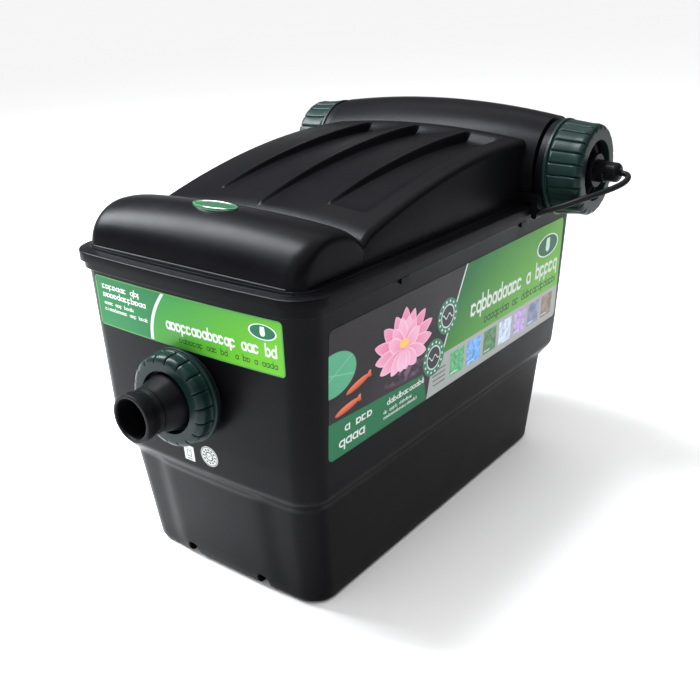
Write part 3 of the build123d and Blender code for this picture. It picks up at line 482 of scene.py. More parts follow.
def make_tub():
    heights = [FOOT * (1 - math.cos(a)) for a in np.linspace(0, math.pi / 2, 7)]
    heights += list(range(14, 100, 12)) + list(np.arange(104, 134, 1.5)) + [140, 147]
    heights += list(np.arange(151, 165, 1.5)) + list(range(180, 303, 20))
    outer = [wall_loop(z) for z in heights]
    for half_x, half_y, z in ((136.0, 250.2, 302.6), (137.1, 253.6, 303.0), (137.5, 254.0, 303.5),
                              (137.5, 254.0, 311.4), (137.1, 253.6, 312.0), (136.0, 250.9, 312.3)):
        outer.append(footprint(half_x, half_y, CORNER, z))
    outer += [wall_loop(tub_top - 0.5), wall_loop(tub_top, 0.5)]
    inner = [wall_loop(tub_top, WALL - 0.5)]
    inner += [wall_loop(z, WALL) for z in heights[::-1] if z > 18] + [wall_loop(5.0, WALL)]
    tub = stacked("tub_shell", outer + inner)
    ridges, channels = [], []
    for side in (-1, 1):
        x = side * CHANNEL_X
        for wide, tall, length, low, group in (
                (CHANNEL_W + 2 * WALL, CHANNEL_H + WALL, 213.0, 4.0, ridges),
                (CHANNEL_W, CHANNEL_H, 320.0, -6.0, channels)):
            arch = arcs([(x - wide / 2, low, 0), (x + wide / 2, low, 0),
                         (x + wide / 2, tall, wide * 0.46), (x - wide / 2, tall, wide * 0.46)], 8)
            loops = [np.column_stack([arch[:, 0], np.full(len(arch), y), arch[:, 1]])
                     for y in (-length, length)]
            group.append(stacked("channel", loops))
    boss = rod("boss", (0, -246.5, outlet_z), (0, -1, 0), 7.0, 40.0, 96)
    hole = rod("hole", (0, -200, outlet_z), (0, -1, 0), 100.0, 23.0, 64)
    ledges = [block("ledge", (side * 129.5 - 4, y - 11, 282.0), (side * 129.5 + 4, y + 11, 287.0))
              for side in (-1, 1) for y in (-100.0, 40.0, 190.0)]
    nibs = [block("nib", (side * 136.2 - 1.5, y - 6, 298.0), (side * 136.2 + 1.5, y + 6, 303.0))
            for side in (-1, 1) for y in (-114.0, 114.0)]
    combined(tub, ridges + [boss] + ledges + nibs, "UNION")
    return combined(tub, channels + [hole], "DIFFERENCE")


# ---------------- films on the tub
SQUARE_X, ROUND_X, ROUND_Z = -11.0, 15.5, 147.0


def film(name, half, low, high, radius, middle, wall, thick=0.25):
    """Thin printed panel with rounded corners that follows a wall of the tub."""
    bend = np.linspace(0.0, math.radians(84), 9)
    bent = half - radius + radius * np.sin(bend)
    straight = np.linspace(-half + radius, half - radius, 25)[1:-1]
    across = np.concatenate([-bent[::-1], straight, bent])
    loops = []
    for u in across:
        over = max(abs(u) - (half - radius), 0.0)
        cut = radius - math.sqrt(max(radius * radius - over * over, 0.0))
        heights = np.linspace(low + cut, high - cut, 13)
        front = [wall(middle + u, z, thick + 0.05) for z in heights]
        back = [wall(middle + u, z, 0.05) for z in heights[::-1]]
        loops.append(front + back)
    return stacked(name, loops, 40.0)


def waves(u, v, length_mm, height_mm):
    """Distance from a sine-shaped line, for drawn ripples."""
    return abs(v - (u * (2 * math.pi / length_mm)).sin() * height_mm)


def bar(u, v, left, right, low, high, soft=0.25):
    """1 inside an upright rectangle."""
    inside = (u - left).least(right - u).least((v - low).least(high - v))
    return inside.between(0.0, soft)


def oval(u, v, centre, half, soft=0.02):
    """1 inside an upright ellipse."""
    du, dv = (u - centre[0]) / half[0], (v - centre[1]) / half[1]
    return (du * du + dv * dv).between(1.0 + soft, 1.0 - soft)


def tilted(u, v, centre, degrees):
    """Coordinates about a centre, turned by an angle."""
    c, s = math.cos(math.radians(degrees)), math.sin(math.radians(degrees))
    du, dv = u - centre[0], v - centre[1]
    return du * c + dv * s, dv * c - du * s


def scatter(tree, index):
    """Number from 0 to 1 that jumps from one whole number to the next."""
    node = tree.nodes.new("ShaderNodeTexWhiteNoise")
    node.noise_dimensions = "1D"
    tree.links.new(index.socket, node.inputs["W"])
    return Field(tree, node.outputs["Value"])


def lettering(tree, u, v, left, right, low, tall, pitch, heavy, seed):
    """Row of plain rings and stems, spaced out like words but spelling nothing."""
    cell = (u - left) / pitch
    index = cell.math("FLOOR")
    pick, other = scatter(tree, index + seed), scatter(tree, index + (seed + 40.0))
    wide, high, soft = pitch * 0.36, tall / 2 - heavy / 2, heavy * 0.25
    across, up = (cell - index) * pitch - pitch * 0.5, v - (low + tall / 2)
    reach = (across * across / (wide * wide) + up * up / (high * high)).root()
    ring = (heavy / 2 - abs(reach - 1.0) * wide).between(0.0, soft)
    gap = pick.between(0.55, 0.56) * across.between(wide * 0.3, wide * 0.4)
    gap = gap * (heavy * 0.9 - abs(up)).between(0.0, soft)
    stem_side = other.between(0.55, 0.56) * (2 * wide) - wide
    top = pick.between(0.20, 0.21) * (1.0 - pick.between(0.45, 0.46)) * (tall * 0.5) + tall / 2
    bottom = pick.between(0.90, 0.91) * (tall * -0.4) - tall / 2
    stem = (heavy / 2 - abs(across - stem_side)).between(0.0, soft)
    stem = stem * (top - up).between(0.0, soft) * (up - bottom).between(0.0, soft)
    written = (ring * (1.0 - gap)).most(stem) * other.between(0.13, 0.14)
    return written * bar(u, v, left, right, low - tall, low + 2 * tall, 0.01)


def emblem(tree, base, u, v, centre, half):
    """Plain oval badge with a drop in it."""
    base = mixed(tree, oval(u, v, centre, half), base, (0.62, 0.70, 0.66))
    base = mixed(tree, oval(u, v, centre, [h * 0.90 for h in half]), base, (0.012, 0.11, 0.055))
    drop_u, drop_v = tilted(u, v, (centre[0], centre[1] - 0.10 * half[1]), 0)
    drop_v = drop_v / (half[1] * 0.62)
    drop_u = drop_u / (half[1] * 0.62)
    wide = (1.0 - drop_v) * 0.42
    drop = (drop_u * drop_u + drop_v * drop_v * wide.most(0.1)).between(0.42, 0.36) * drop_v.between(1.3, 1.2)
    return mixed(tree, drop, base, (0.55, 0.72, 0.62))


WHITE, INK = (0.62, 0.64, 0.62), (0.006, 0.04, 0.016)
DEEP_GREEN, MID_GREEN, LIME = (0.003, 0.135, 0.034), (0.010, 0.190, 0.030), (0.100, 0.350, 0.018)
SILVER = (0.52, 0.58, 0.55)


def printed_film(name):
    """Satin laminate, with its x, y and z in millimetres; the caller links its colour."""
    material, shader, tree, where = new_material(name, 0.34, Specular_IOR_Level=0.12)
    ripple = noise(tree, where, 22.0, 3.0)
    grain = noise(tree, where, 0.5, 2.0)
    tree.links.new((ripple * 0.12 + grain * 0.05 + 0.28).socket, shader.inputs["Roughness"])
    bumped(tree, shader, ripple + grain * 0.06, 0.12, 0.5)
    parts = tree.nodes.new("ShaderNodeSeparateXYZ")
    tree.links.new(where, parts.inputs[0])
    return material, shader, tree, where, [Field(tree, socket) * 1000.0 for socket in parts.outputs]


def front_artwork():
    """Dark green end block, a curved silver line, a bright field with rows of marks, and an emblem."""
    material, shader, tree, _, (x, _, z) = printed_film("front_label_print")
    across, up = (x + 35.0) / 150.0, (z - 249.5) / 49.0
    field = mixed(tree, (across - up * 0.45 + 0.35).between(0.0, 1.0), MID_GREEN, LIME)
    line_x = (z - 274.0) * 0.432 + (z - 274.0) * (z - 274.0) * 0.0101 - 36.8
    past = x - line_x
    base = mixed(tree, past.between(0.0, 0.4), DEEP_GREEN, field)
    base = mixed(tree, (2.2 - abs(past - 1.4)).between(0.0, 0.5), base, SILVER)
    for right, low, tall, pitch, heavy, colour in (
            (-52.0, 286.5, 4.6, 5.0, 1.5, WHITE), (-40.0, 278.3, 4.6, 5.0, 1.5, WHITE),
            (-62.0, 271.0, 2.8, 3.2, 0.8, WHITE), (-44.0, 265.0, 2.8, 3.2, 0.8, WHITE)):
        marks = lettering(tree, x, z, -104.0, right, low, tall, pitch, heavy, low)
        base = mixed(tree, marks, base, colour)
    marks = lettering(tree, x, z, -20.0, 106.0, 265.0, 8.2, 6.3, 1.9, 3.0)
    base = mixed(tree, marks, base, WHITE)
    marks = lettering(tree, x, z, -5.0, 106.0, 255.2, 4.4, 4.1, 1.0, 9.0)
    base = mixed(tree, marks, base, INK)
    base = emblem(tree, base, x, z, (92.3, 286.0), (14.6, 6.8))
    rim = bar(x, z, -112.0, 112.0, 250.5, 297.5, 0.5)
    coloured(shader, mixed(tree, rim, (0.060, 0.230, 0.060), base))
    return material


# petals of the printed flower from the back forwards: angle, length, half width and depth of pink
PETALS = (
    (88, 42, 9.0, 0.9), (66, 40, 8.5, 0.7), (112, 40, 8.5, 0.8), (42, 46, 8.5, 0.9), (138, 45, 8.5, 0.8),
    (20, 50, 7.5, 0.7), (160, 50, 7.5, 0.8), (77, 33, 8.5, 0.4), (100, 34, 8.5, 0.3), (54, 32, 8.0, 0.5),
    (126, 32, 8.0, 0.5), (2, 47, 7.5, 0.6), (178, 46, 7.5, 0.6), (32, 30, 8.0, 0.3), (149, 30, 8.0, 0.4),
    (-18, 40, 7.5, 0.4), (197, 40, 7.5, 0.5), (-42, 29, 8.0, 0.3), (222, 28, 8.0, 0.3), (-75, 21, 8.5, 0.2),
    (255, 21, 8.5, 0.1))


def blossom(tree, base, u, v, centre):
    """Generic water flower with pointed petals, seen a little from above."""
    for angle, length, half_width, depth in PETALS:
        along, across = tilted(u, v, centre, angle)
        share = along / length
        wide = (share * (1.0 - share)).most(0.0).math("POWER", 0.72) * (half_width * 2.7)
        inside = (wide - abs(across)).between(0.0, 0.4) * share.between(0.0, 0.02)
        root = [0.78 - 0.16 * depth, 0.42 - 0.38 * depth, 0.56 - 0.40 * depth]
        tip = [0.80 - 0.10 * depth, 0.52 - 0.26 * depth, 0.66 - 0.26 * depth]
        tint = mixed(tree, share.between(0.25, 1.0), root, tip)
        rim = (abs(across) / wide.most(0.2)).between(0.70, 1.0)
        base = mixed(tree, inside, base, mixed(tree, rim * 0.6, tint, (0.92, 0.70, 0.80)))
    heart = oval(u, v, (centre[0], centre[1] + 7.0), (7.5, 4.0), 0.3)
    return mixed(tree, heart, base, (0.86, 0.50, 0.08))


def side_artwork():
    """Pond scene on the left, green field with rows of marks on the right, a strip of plain squares."""
    material, shader, tree, where, (_, y, z) = printed_film("side_label_print")
    murk = noise(tree, where, 70.0, 4.0)
    base = mixed(tree, murk.between(0.3, 0.8), (0.006, 0.005, 0.006), (0.022, 0.017, 0.022))
    glow_u, glow_v = (y + 90.0) / 90.0, (z - 196.0) / 40.0
    glow = (glow_u * glow_u + glow_v * glow_v).between(1.0, 0.0)
    base = mixed(tree, glow * 0.7, base, (0.038, 0.028, 0.042))
    # leaf at the left edge
    leaf = oval(y, z, (-214.0, 244.0), (31.0, 20.0), 0.04)
    vein_u, vein_v = y + 214.0, z - 244.0
    vein = (abs(vein_v - vein_u * 0.45).least(abs(vein_v + vein_u * 0.25))).between(0.9, 0.2)
    leaf_tint = mixed(tree, murk, (0.050, 0.270, 0.150), (0.120, 0.380, 0.220))
    leaf_tint = mixed(tree, vein * 0.35, leaf_tint, (0.30, 0.55, 0.42))
    base = mixed(tree, leaf, base, leaf_tint)
    # two slim fish
    for centre, turn in (((-180.0, 224.0), 12.0), ((-195.0, 207.5), 8.0)):
        along, across = tilted(y, z, centre, turn)
        body = oval(along, across, (0.0, 0.0), (17.0, 3.3), 0.15)
        tail = (3.6 - abs(across)).between(0.0, 0.5) * (abs(across) * 1.3 + 13.0 - along).between(0.6, 0.0)
        tail = tail * (20.0 - along).between(0.0, 0.5)
        shine = across.between(-3.0, 3.0)
        tint = mixed(tree, shine, (0.42, 0.045, 0.014), (0.68, 0.19, 0.09))
        base = mixed(tree, body.most(tail), base, tint)
    base = blossom(tree, base, y, z, (-109.0, 231.0))
    # mirrored glimmer under the flower
    glimmer = oval(y, z, (-98.0, 206.0), (34.0, 6.5), 0.7) * noise(tree, where, 9.0, 3.0).between(0.45, 0.6)
    base = mixed(tree, glimmer * 0.5, base, (0.30, 0.16, 0.26))
    # green band low on the left
    band_top = z - (197.5 - (y + 150.0) * 0.045)
    band = band_top.between(0.0, -0.5) * (y + 67.0 - (z - 166.0) * -0.25).between(0.4, 0.0)
    base = mixed(tree, band, base, (0.012, 0.130, 0.055))
    # bright field with a slanting left edge
    edge_y = (z - 205.0) * 0.50 - 41.0
    past = y - edge_y
    field_mix = ((y + 40.0) / 260.0 - (z - 205.0) / 160.0 + 0.25).between(0.0, 1.0)
    field = mixed(tree, field_mix, (0.006, 0.120, 0.030), (0.125, 0.400, 0.035))
    base = mixed(tree, past.between(0.0, 0.4) * z.between(203.0, 203.4), base, field)
    base = mixed(tree, (1.5 - abs(past - 0.6)).between(0.0, 0.4) * z.between(203.0, 203.4), base, SILVER)
    # pale strip with squares
    strip_left = y - ((z - 166.0) * 0.22 - 66.0)
    strip = strip_left.between(0.0, 0.4) * z.between(203.4, 203.0)
    base = mixed(tree, strip, base, (0.34, 0.36, 0.35))
    for index, colour in enumerate(((0.07, 0.26, 0.12), (0.10, 0.25, 0.52), (0.05, 0.14, 0.06),
                                    (0.36, 0.42, 0.55), (0.30, 0.22, 0.42), (0.13, 0.15, 0.24),
                                    (0.16, 0.12, 0.09))):
        left = -24.0 + 34.2 * index
        cell = bar(y, z, left, left + 28.0, 171.5, 198.5)
        speck = noise(tree, where, 4.0 + index, 3.0)
        tint = mixed(tree, speck.between(0.35, 0.65), colour, [min(1.0, c * 1.9 + 0.03) for c in colour])
        base = mixed(tree, cell, base, tint)
        base = mixed(tree, bar(y, z, left + 2.0, left + 15.0, 174.0, 175.6), base, WHITE)
    for step in range(4):
        base = mixed(tree, bar(y, z, -58.0 + step, -32.0, 188.0 - 5.0 * step, 189.6 - 5.0 * step), base,
                     (0.10, 0.12, 0.11))
    # two round seals: a plain ring with a drop, and one with a ripple
    for centre, radius in (((-33.0, 241.0), 18.5), ((-56.0, 205.0), 19.0)):
        base = mixed(tree, oval(y, z, centre, (radius, radius)), base, (0.03, 0.17, 0.10))
        ring_in = oval(y, z, centre, (radius * 0.66, radius * 0.66))
        base = mixed(tree, ring_in, base, SILVER)
        base = mixed(tree, oval(y, z, centre, (radius * 0.58, radius * 0.58)), base, (0.03, 0.035, 0.04))
        middle_v = z - centre[1]
        ripple = (0.9 - waves(y - centre[0], middle_v, 11.0, 2.2)).between(0.0, 0.4)
        base = mixed(tree, ripple * oval(y, z, centre, (radius * 0.5, radius * 0.5)), base, WHITE)
        for dot in range(14):
            angle = 2 * math.pi * dot / 14
            spot = (centre[0] + radius * 0.82 * math.cos(angle), centre[1] + radius * 0.82 * math.sin(angle))
            base = mixed(tree, oval(y, z, spot, (1.3, 1.3), 0.2), base, WHITE)
    # rows of plain marks across the field and the band
    for left, right, low, tall, pitch, heavy, colour in (
            (1.0, 214.0, 225.0, 14.0, 11.2, 3.3, WHITE), (42.0, 213.0, 209.5, 7.4, 7.0, 1.7, INK),
            (-207.0, -158.0, 185.0, 7.0, 8.2, 2.3, WHITE), (-207.0, -168.0, 171.5, 8.0, 9.6, 2.5, WHITE),
            (-140.0, -72.0, 184.5, 4.6, 5.3, 1.5, WHITE), (-140.0, -92.0, 177.5, 2.6, 3.2, 0.8, WHITE),
            (-140.0, -84.0, 172.0, 2.6, 3.2, 0.8, WHITE)):
        marks = lettering(tree, y, z, left, right, low, tall, pitch, heavy, left + low)
        base = mixed(tree, marks, base, colour)
    base = emblem(tree, base, y, z, (184.0, 260.0), (27.0, 13.0))
    coloured(shader, base)
    return material


def sticker_artwork():
    """White paper with a plain box drawn on one sticker and a ring with a ripple on the other."""
    material, shader, tree, where, (x, _, z) = printed_film("sticker_print")
    base = mixed(tree, noise(tree, where, 8.0), (0.44, 0.45, 0.43), (0.52, 0.53, 0.51))
    ink = (0.03, 0.035, 0.04)
    box = bar(x, z, -14.0, -8.0, 138.6, 145.8, 0.3) * (1.0 - bar(x, z, -13.3, -8.7, 139.3, 145.1, 0.3))
    base = mixed(tree, box.most(bar(x, z, -15.4, -6.6, 146.9, 147.6, 0.3)), base, ink)
    base = mixed(tree, bar(x, z, -14.6, -7.4, 135.8, 137.0, 0.3), base, ink)
    ring = oval(x, z, (ROUND_X, ROUND_Z), (9.9, 9.9), 0.04)
    ring = ring * (1.0 - oval(x, z, (ROUND_X, ROUND_Z), (9.2, 9.2), 0.04))
    base = mixed(tree, ring, base, ink)
    disc = oval(x, z, (ROUND_X, ROUND_Z), (4.9, 4.9), 0.08)
    inner = disc * (1.0 - oval(x, z, (ROUND_X, ROUND_Z), (3.7, 3.7), 0.08))
    ripple = (0.5 - waves(x - ROUND_X, z - ROUND_Z, 4.2, 1.0)).between(0.0, 0.3) * disc
    base = mixed(tree, inner.most(ripple), base, ink)
    for dot in range(12):
        angle = 2 * math.pi * dot / 12
        spot = (ROUND_X + 6.9 * math.cos(angle), ROUND_Z + 6.9 * math.sin(angle))
        base = mixed(tree, oval(x, z, spot, (1.25, 0.95), 0.3), base, ink)
    coloured(shader, base)
    return material


# ---------------- lid
HUMP_X, HUMP_PEAK, HUMP_PEAK_Y, HUMP_FALL, HUMP_CROWN = 126.0, 394.0, 100.0, 0.00059, 8.5
HUMP_ROUND, HUMP_REAR = 7.0, 152.0
CRESTS = (-64.0, 0.0, 64.0)
SCOOP_FRONTS, SCOOP_REAR = (-127.0, -146.0, -125.0), 121.0
ROLL_Y, ROLL_X, ROLL_CORNER = -203.0, 127.0, 15.0


def scoops(x, y):
    """The hollows behind each crest, and the small bead where a crest starts."""
    fade = 1 - smooth_step(y, 106.0, SCOOP_REAR)
    change = 0 * x
    for crest, start, stop in zip(CRESTS, SCOOP_FRONTS, (0.0, 64.0, 108.0)):
        share = np.clip((y - start) / (SCOOP_REAR - start), 0, 1)
        past = x - crest
        along = np.clip(past / (stop - crest), 0, 1)
        climb = 1 - along ** 1.15 if stop < 100 else 1 - smooth_step(along, 0.72, 1.0)
        depth = 11.0 * share ** 0.6 * fade
        change = change - depth * smooth_step(past, 0.0, 4.0) * climb * (along < 1)
        bead = np.exp(-(past / 1.7) ** 2) * smooth_step(y, start - 3, start + 2)
        change = change + 1.5 * bead * (1 - smooth_step(y, -105.0, 40.0))
    return change


def hump_height(x, y, inset=0.0, ribbed=True):
    """Height of the hump over the deck."""
    half, curve = HUMP_X - inset, HUMP_ROUND - inset
    height = HUMP_PEAK - HUMP_FALL * (y - HUMP_PEAK_Y) ** 2 - DECK - inset - HUMP_CROWN * (x / half) ** 2
    over = np.clip((np.abs(x) - (half - curve)) / curve, 0, 1)
    height = height - curve * (1 - np.sqrt(1 - over * over))
    height = np.where(np.abs(x) < half, height, 0)
    if ribbed:
        height = height + scoops(x, y)
    return height * superellipse(np.clip((-140 - y) / (30 - inset), 0, 1), 2.2)


def roll_height(x, y, inset=0.0):
    """Height of the roll over the deck."""
    half = ROLL_X - inset
    tall = 38.0 - 1.5 * inset + 6.0 * (1 - (x / half) ** 2)
    over = np.clip((np.abs(x) - (half - ROLL_CORNER)) / ROLL_CORNER, 0, 1)
    drawn = ROLL_CORNER * (1 - np.sqrt(1 - over * over))
    ahead = superellipse(np.clip((ROLL_Y - y) / (44.0 - inset - drawn), 0, 1), 2.0)
    behind = superellipse(np.clip((y - ROLL_Y) / (51.0 - inset - drawn * 0.6), 0, 1), 2.3)
    return tall * np.where(y < ROLL_Y, ahead, behind) * superellipse(x / half, 12.0)


def foot_fillet(x, y):
    """Small rise of the deck towards the walls that stand on it."""
    beside = np.maximum(np.abs(x) - HUMP_X, 0)
    ahead = np.maximum(-(y - ROLL_Y) - 44.0, 0)
    return 1.9 * np.exp(-np.hypot(beside, ahead) / 1.1)


def smooth_most(first, second, reach):
    """The larger of two heights, with a rounded valley where they meet."""
    near = np.maximum(reach - np.abs(first - second), 0) / reach
    return np.maximum(first, second) + near * near * reach / 4


def lines(*spans):
    """Sorted places for grid lines, from (start, stop, spacing) spans."""
    places = np.concatenate([np.arange(start, stop, spacing) for start, stop, spacing in spans])
    return np.unique(np.round(places, 3))


def height_block(name, xs, ys, top, floor):
    """Closed block with a flat floor and a top that follows a height over each grid point."""
    x, y = np.meshgrid(xs, ys)
    upper = np.stack([x, y, top(x, y)], -1)
    rows, columns = x.shape
    points = [upper.reshape(-1, 3)]
    faces = grid_faces(rows, columns, closed_columns=False)
    edge = [(0, c) for c in range(columns)] + [(r, columns - 1) for r in range(1, rows)]
    edge += [(rows - 1, c) for c in range(columns - 2, -1, -1)] + [(r, 0) for r in range(rows - 2, 0, -1)]
    border = [r * columns + c for r, c in edge]
    lower = points[0][border].copy()
    lower[:, 2] = floor
    start = rows * columns
    count = len(border)
    for index in range(count):
        beside = (index + 1) % count
        faces.append((border[index], start + index, start + beside, border[beside]))
    faces.append(tuple(start + index for index in range(count)))
    return mesh_object(name, np.vstack([points[0], lower]), faces)


def mirrored(spans):
    """Spans on both sides of 0."""
    return list(spans) + [(-stop, -start, spacing) for start, stop, spacing in spans]


def make_lid():
    half_lines = [(0.0, 96.0, 3.0), (96.0, 119.0, 1.2), (119.0, 127.5, 0.25), (127.5, 131.1, 0.6)]
    crest_lines = [(crest - 4.2, crest + 8.0, 0.6) for crest in CRESTS]
    xs = lines(*mirrored(half_lines), *crest_lines)
    ys = lines((-251.5, -240.0, 0.5), (-240.0, -215.0, 1.5), (-215.0, -185.0, 2.5), (-185.0, -148.0, 1.0),
               (-148.0, -130.0, 2.0), (-130.0, -114.0, 0.75), (-114.0, 103.0, 3.5), (103.0, 124.0, 1.0),
               (124.0, HUMP_REAR + 0.5, 2.5))

    def outside(x, y):
        shapes = smooth_most(hump_height(x, y), roll_height(x, y), 5.0)
        return DECK - 0.6 + smooth_most(shapes, foot_fillet(x, y), 1.0)

    def inside(x, y):
        shapes = np.maximum(hump_height(x, y, WALL, False) - 10.0, roll_height(x, y, WALL))
        return np.minimum(DECK - 1.5 + shapes, outside(x, y) - WALL)

    deck = [(0.0, SKIRT_LOW), (0.0, SKIRT_TOP - 1.6), (0.25, SKIRT_TOP - 0.7), (0.8, SKIRT_TOP - 0.2),
            (1.6, SKIRT_TOP), (7.6, SKIRT_TOP + 0.5), (8.5, SKIRT_TOP + 0.8), (8.9, SKIRT_TOP + 1.4),
            (9.1, DECK - 0.9), (9.5, DECK - 0.3), (10.2, DECK)]
    lid = stacked("lid_shell", [footprint(*(SKIRT - draw), CORNER + 6 - draw / 2, z) for draw, z in deck])
    top = height_block("lid_top", xs, ys, outside, SKIRT_TOP + 1.0)
    within = [footprint(*(SKIRT - 10.4), CORNER + 0.8, z) for z in (SKIRT_TOP, SKIRT_TOP + 100)]
    combined(top, [stacked("deck_limit", within)], "INTERSECT")
    combined(lid, [top], "UNION")
    hollow_x = xs[(np.abs(xs) < HUMP_X - WALL)][::2]
    hollow_y = ys[(ys > -247.0) & (ys < uv_y - 70.0)][::2]
    hollow = height_block("lid_hollow", hollow_x, hollow_y, inside, SKIRT_TOP - 4.0)
    skirt = [footprint(*(SKIRT - WALL), CORNER + 3, z) for z in (SKIRT_LOW - 2, SKIRT_TOP)]
    skirt = stacked("lid_inside", skirt)
    badge = [oval_loop(25.3, 11.3, z) for z in (roll_crest_z - 1.8, roll_crest_z + 20)]
    badge = stacked("badge_pocket", badge)
    screws = [rod("screw_hole", (side_x * 106.0, uv_y + side_y * 36.0, 310.0), (0, 0, 1), 20.0, 2.3, 24)
              for side_x in (-1, 1) for side_y in (-1, 1)]
    pipe = rod("pipe_hole", (95.0, uv_y, 310.0), (0, 0, 1), 20.0, 17.0)
    gland = rod("gland_hole", (-140.0, 0.0, 347.0), (1, 0, 0), 40.0, 6.3, 48)
    combined(lid, [hollow, skirt, badge, cowl_cutter(), pipe, gland, *screws], "DIFFERENCE")
    return lid


def oval_loop(half_x, half_y, z):
    """Ellipse about the badge's place."""
    angles = np.arange(72) * 2 * math.pi / 72
    return np.column_stack([half_x * np.cos(angles), ROLL_Y + half_y * np.sin(angles), np.full(72, z)])


COWL_R, COWL_END_R, COWL_X = 63.0, 53.0, 137.0


def cowl_cutter(gap=0.5):
    """Barrel a little larger than the UV housing, with straight sides under its axis."""
    loops = []
    for x in np.linspace(-COWL_X - 2, COWL_X + 2, 41):
        radius = COWL_R - (COWL_R - COWL_END_R) * (x / COWL_X) ** 2 + gap
        angles = np.linspace(0, math.pi, 65)
        y = uv_y + radius * np.cos(angles)
        z = uv_z + radius * np.sin(angles)
        y = np.concatenate([y, [uv_y - radius, uv_y + radius]])
        z = np.concatenate([z, [DECK, DECK]])
        loops.append(np.column_stack([np.full(len(y), x), y, z]))
    return stacked("cowl_cutter", loops)


def make_badge():
    """Domed oval with a raised rim."""
    profile = [(1.0, 0.0), (1.0, 2.0), (0.985, 2.5), (0.955, 2.75), (0.92, 2.6), (0.90, 2.35), (0.86, 2.5),
               (0.7, 2.85), (0.5, 3.05), (0.3, 3.16), (0.12, 3.2)]
    low, high = box_mm("lid_badge")
    half = (high - low)[:2] / 2
    return stacked("badge", [oval_loop(*(half * share), low[2] + z) for share, z in profile])


# ---------------- collars and hose tails
def grooved(count, depth, width_mm, barrel_r, front_r, length, curve):
    """Radius rule for a collar: evenly spaced grooves from its lip over its rounded shoulder."""
    def shape(distance, radius, angles):
        turn = angles * count / (2 * math.pi) % 1.0
        off = np.minimum(turn, 1 - turn) * 2 * math.pi * barrel_r / count
        cut = 1 - smooth_step(off, width_mm * 0.25, width_mm)
        swell = 0.6 * np.sin(math.pi * turn)
        over = np.clip(distance - (length - curve), 0, curve)
        outside = front_r - curve + np.sqrt(curve * curve - over * over)
        skin = (radius > outside - 1.2) & (distance < length - 0.05)
        zone = smooth_step(distance, 3.8, 5.0) * skin
        deeper = 1 + 0.9 * smooth_step(distance, length - curve, length - 1.0)
        return radius - zone * (depth * cut * deeper - swell * 0.5)
    return shape


def collar(name, node, origin, along, lip_r, barrel_r, front_r, curve, clear_r, hole_r, web_t, count, body):
    """Union nut: lip ring, step, grooved barrel, rounded shoulder, web with a hole."""
    low, high = box_mm(node)
    length = (high - low)[int(np.argmax(np.abs(along)))]
    outline = arcs([(0, clear_r, 0.4), (0, lip_r, 0.7), (2.8, lip_r, 0.7), (3.6, barrel_r - 0.9, 0.5),
                    (6.5, barrel_r, 3.0), (length - curve, front_r, 0.0), (length, front_r, curve * 0.985),
                    (length, hole_r, 0.5), (length - web_t, hole_r, 0.4), (length - web_t, clear_r, 0.6)], 10)
    finer = []
    for first, second in zip(outline, np.roll(outline, -1, 0)):
        parts = max(1, int(np.linalg.norm(second - first) / 3.0))
        finer += [first + (second - first) * step / parts for step in range(parts)]
    nut = turned(name, origin, along, np.array(finer), count * 16,
                 grooved(count, 1.5, 1.15, barrel_r, front_r, length, curve), 40.0)
    return finish_piece(nut, body, green, [node])


def make_outlet_tail():
    low, high = box_mm("outlet_hose_tail")
    start, end = -high[1], -low[1]
    flange = 270.3
    outline = [(start, 17.5, 0.3), (start, 33, 0.4), (start + 2.5, 33, 0.2), (start + 2.5, 30.6, 0.2),
               (start + 5.5, 30.6, 0.2), (start + 5.5, 33, 0.2), (flange, 33, 0.2), (flange, 37, 0.4),
               (flange + 4, 37, 0.6), (flange + 4, 26.2, 1.0), (flange + 8, 25.9, 3), (end - 24, 21.6, 1.5),
               (end - 20.4, 20.7, 0.8), (end - 19.2, 21.5, 0.5), (end - 15, 20.5, 1), (end - 9.8, 20.5, 0.8),
               (end - 8.8, 22.0, 0.6), (end - 0.2, 22.0, 1.0), (end, 18.6, 0.9)]
    outline += [(end - 2.0, 17.9, 0.5), (end - 14.0, 17.7, 0.5), (end - 15.0, 17.4, 0.4)]
    tail = turned("outlet_tail_piece", (0, 0, outlet_z), (0, -1, 0), arcs(outline, 4), 128)
    return finish_piece(tail, "outlet_tail", fitting, ["outlet_hose_tail"])


def make_inlet_tail():
    low, high = box_mm("inlet_hose_tail")
    start, end = low[1], high[1]
    flange = start + 8.3
    outline = [(start, 12.5, 0.3), (start, 21.4, 0.4), (start + 2.4, 21.4, 0.2), (start + 2.4, 19.4, 0.2),
               (start + 5.2, 19.4, 0.2), (start + 5.2, 21.4, 0.2), (flange, 21.4, 0.2), (flange, 25.6, 0.4),
               (flange + 3.5, 25.6, 0.5), (flange + 3.5, 18.6, 1.0), (flange + 8.5, 16.2, 3.0)]
    for ridge in (end - 23.0, end - 16.0):
        outline += [(ridge - 1.2, 16.0, 0.3), (ridge, 17.0, 0.3), (ridge + 5.0, 16.0, 0.8)]
    outline += [(end - 8.6, 16.0, 0.5), (end - 7.6, 17.0, 0.6), (end - 0.2, 17.0, 0.9), (end, 12.5, 1.0)]
    tail = turned("inlet_tail_piece", (inlet_x, 0, inlet_z), (0, 1, 0), arcs(outline, 4), 96)
    return finish_piece(tail, "inlet_tail", fitting, ["inlet_hose_tail"])


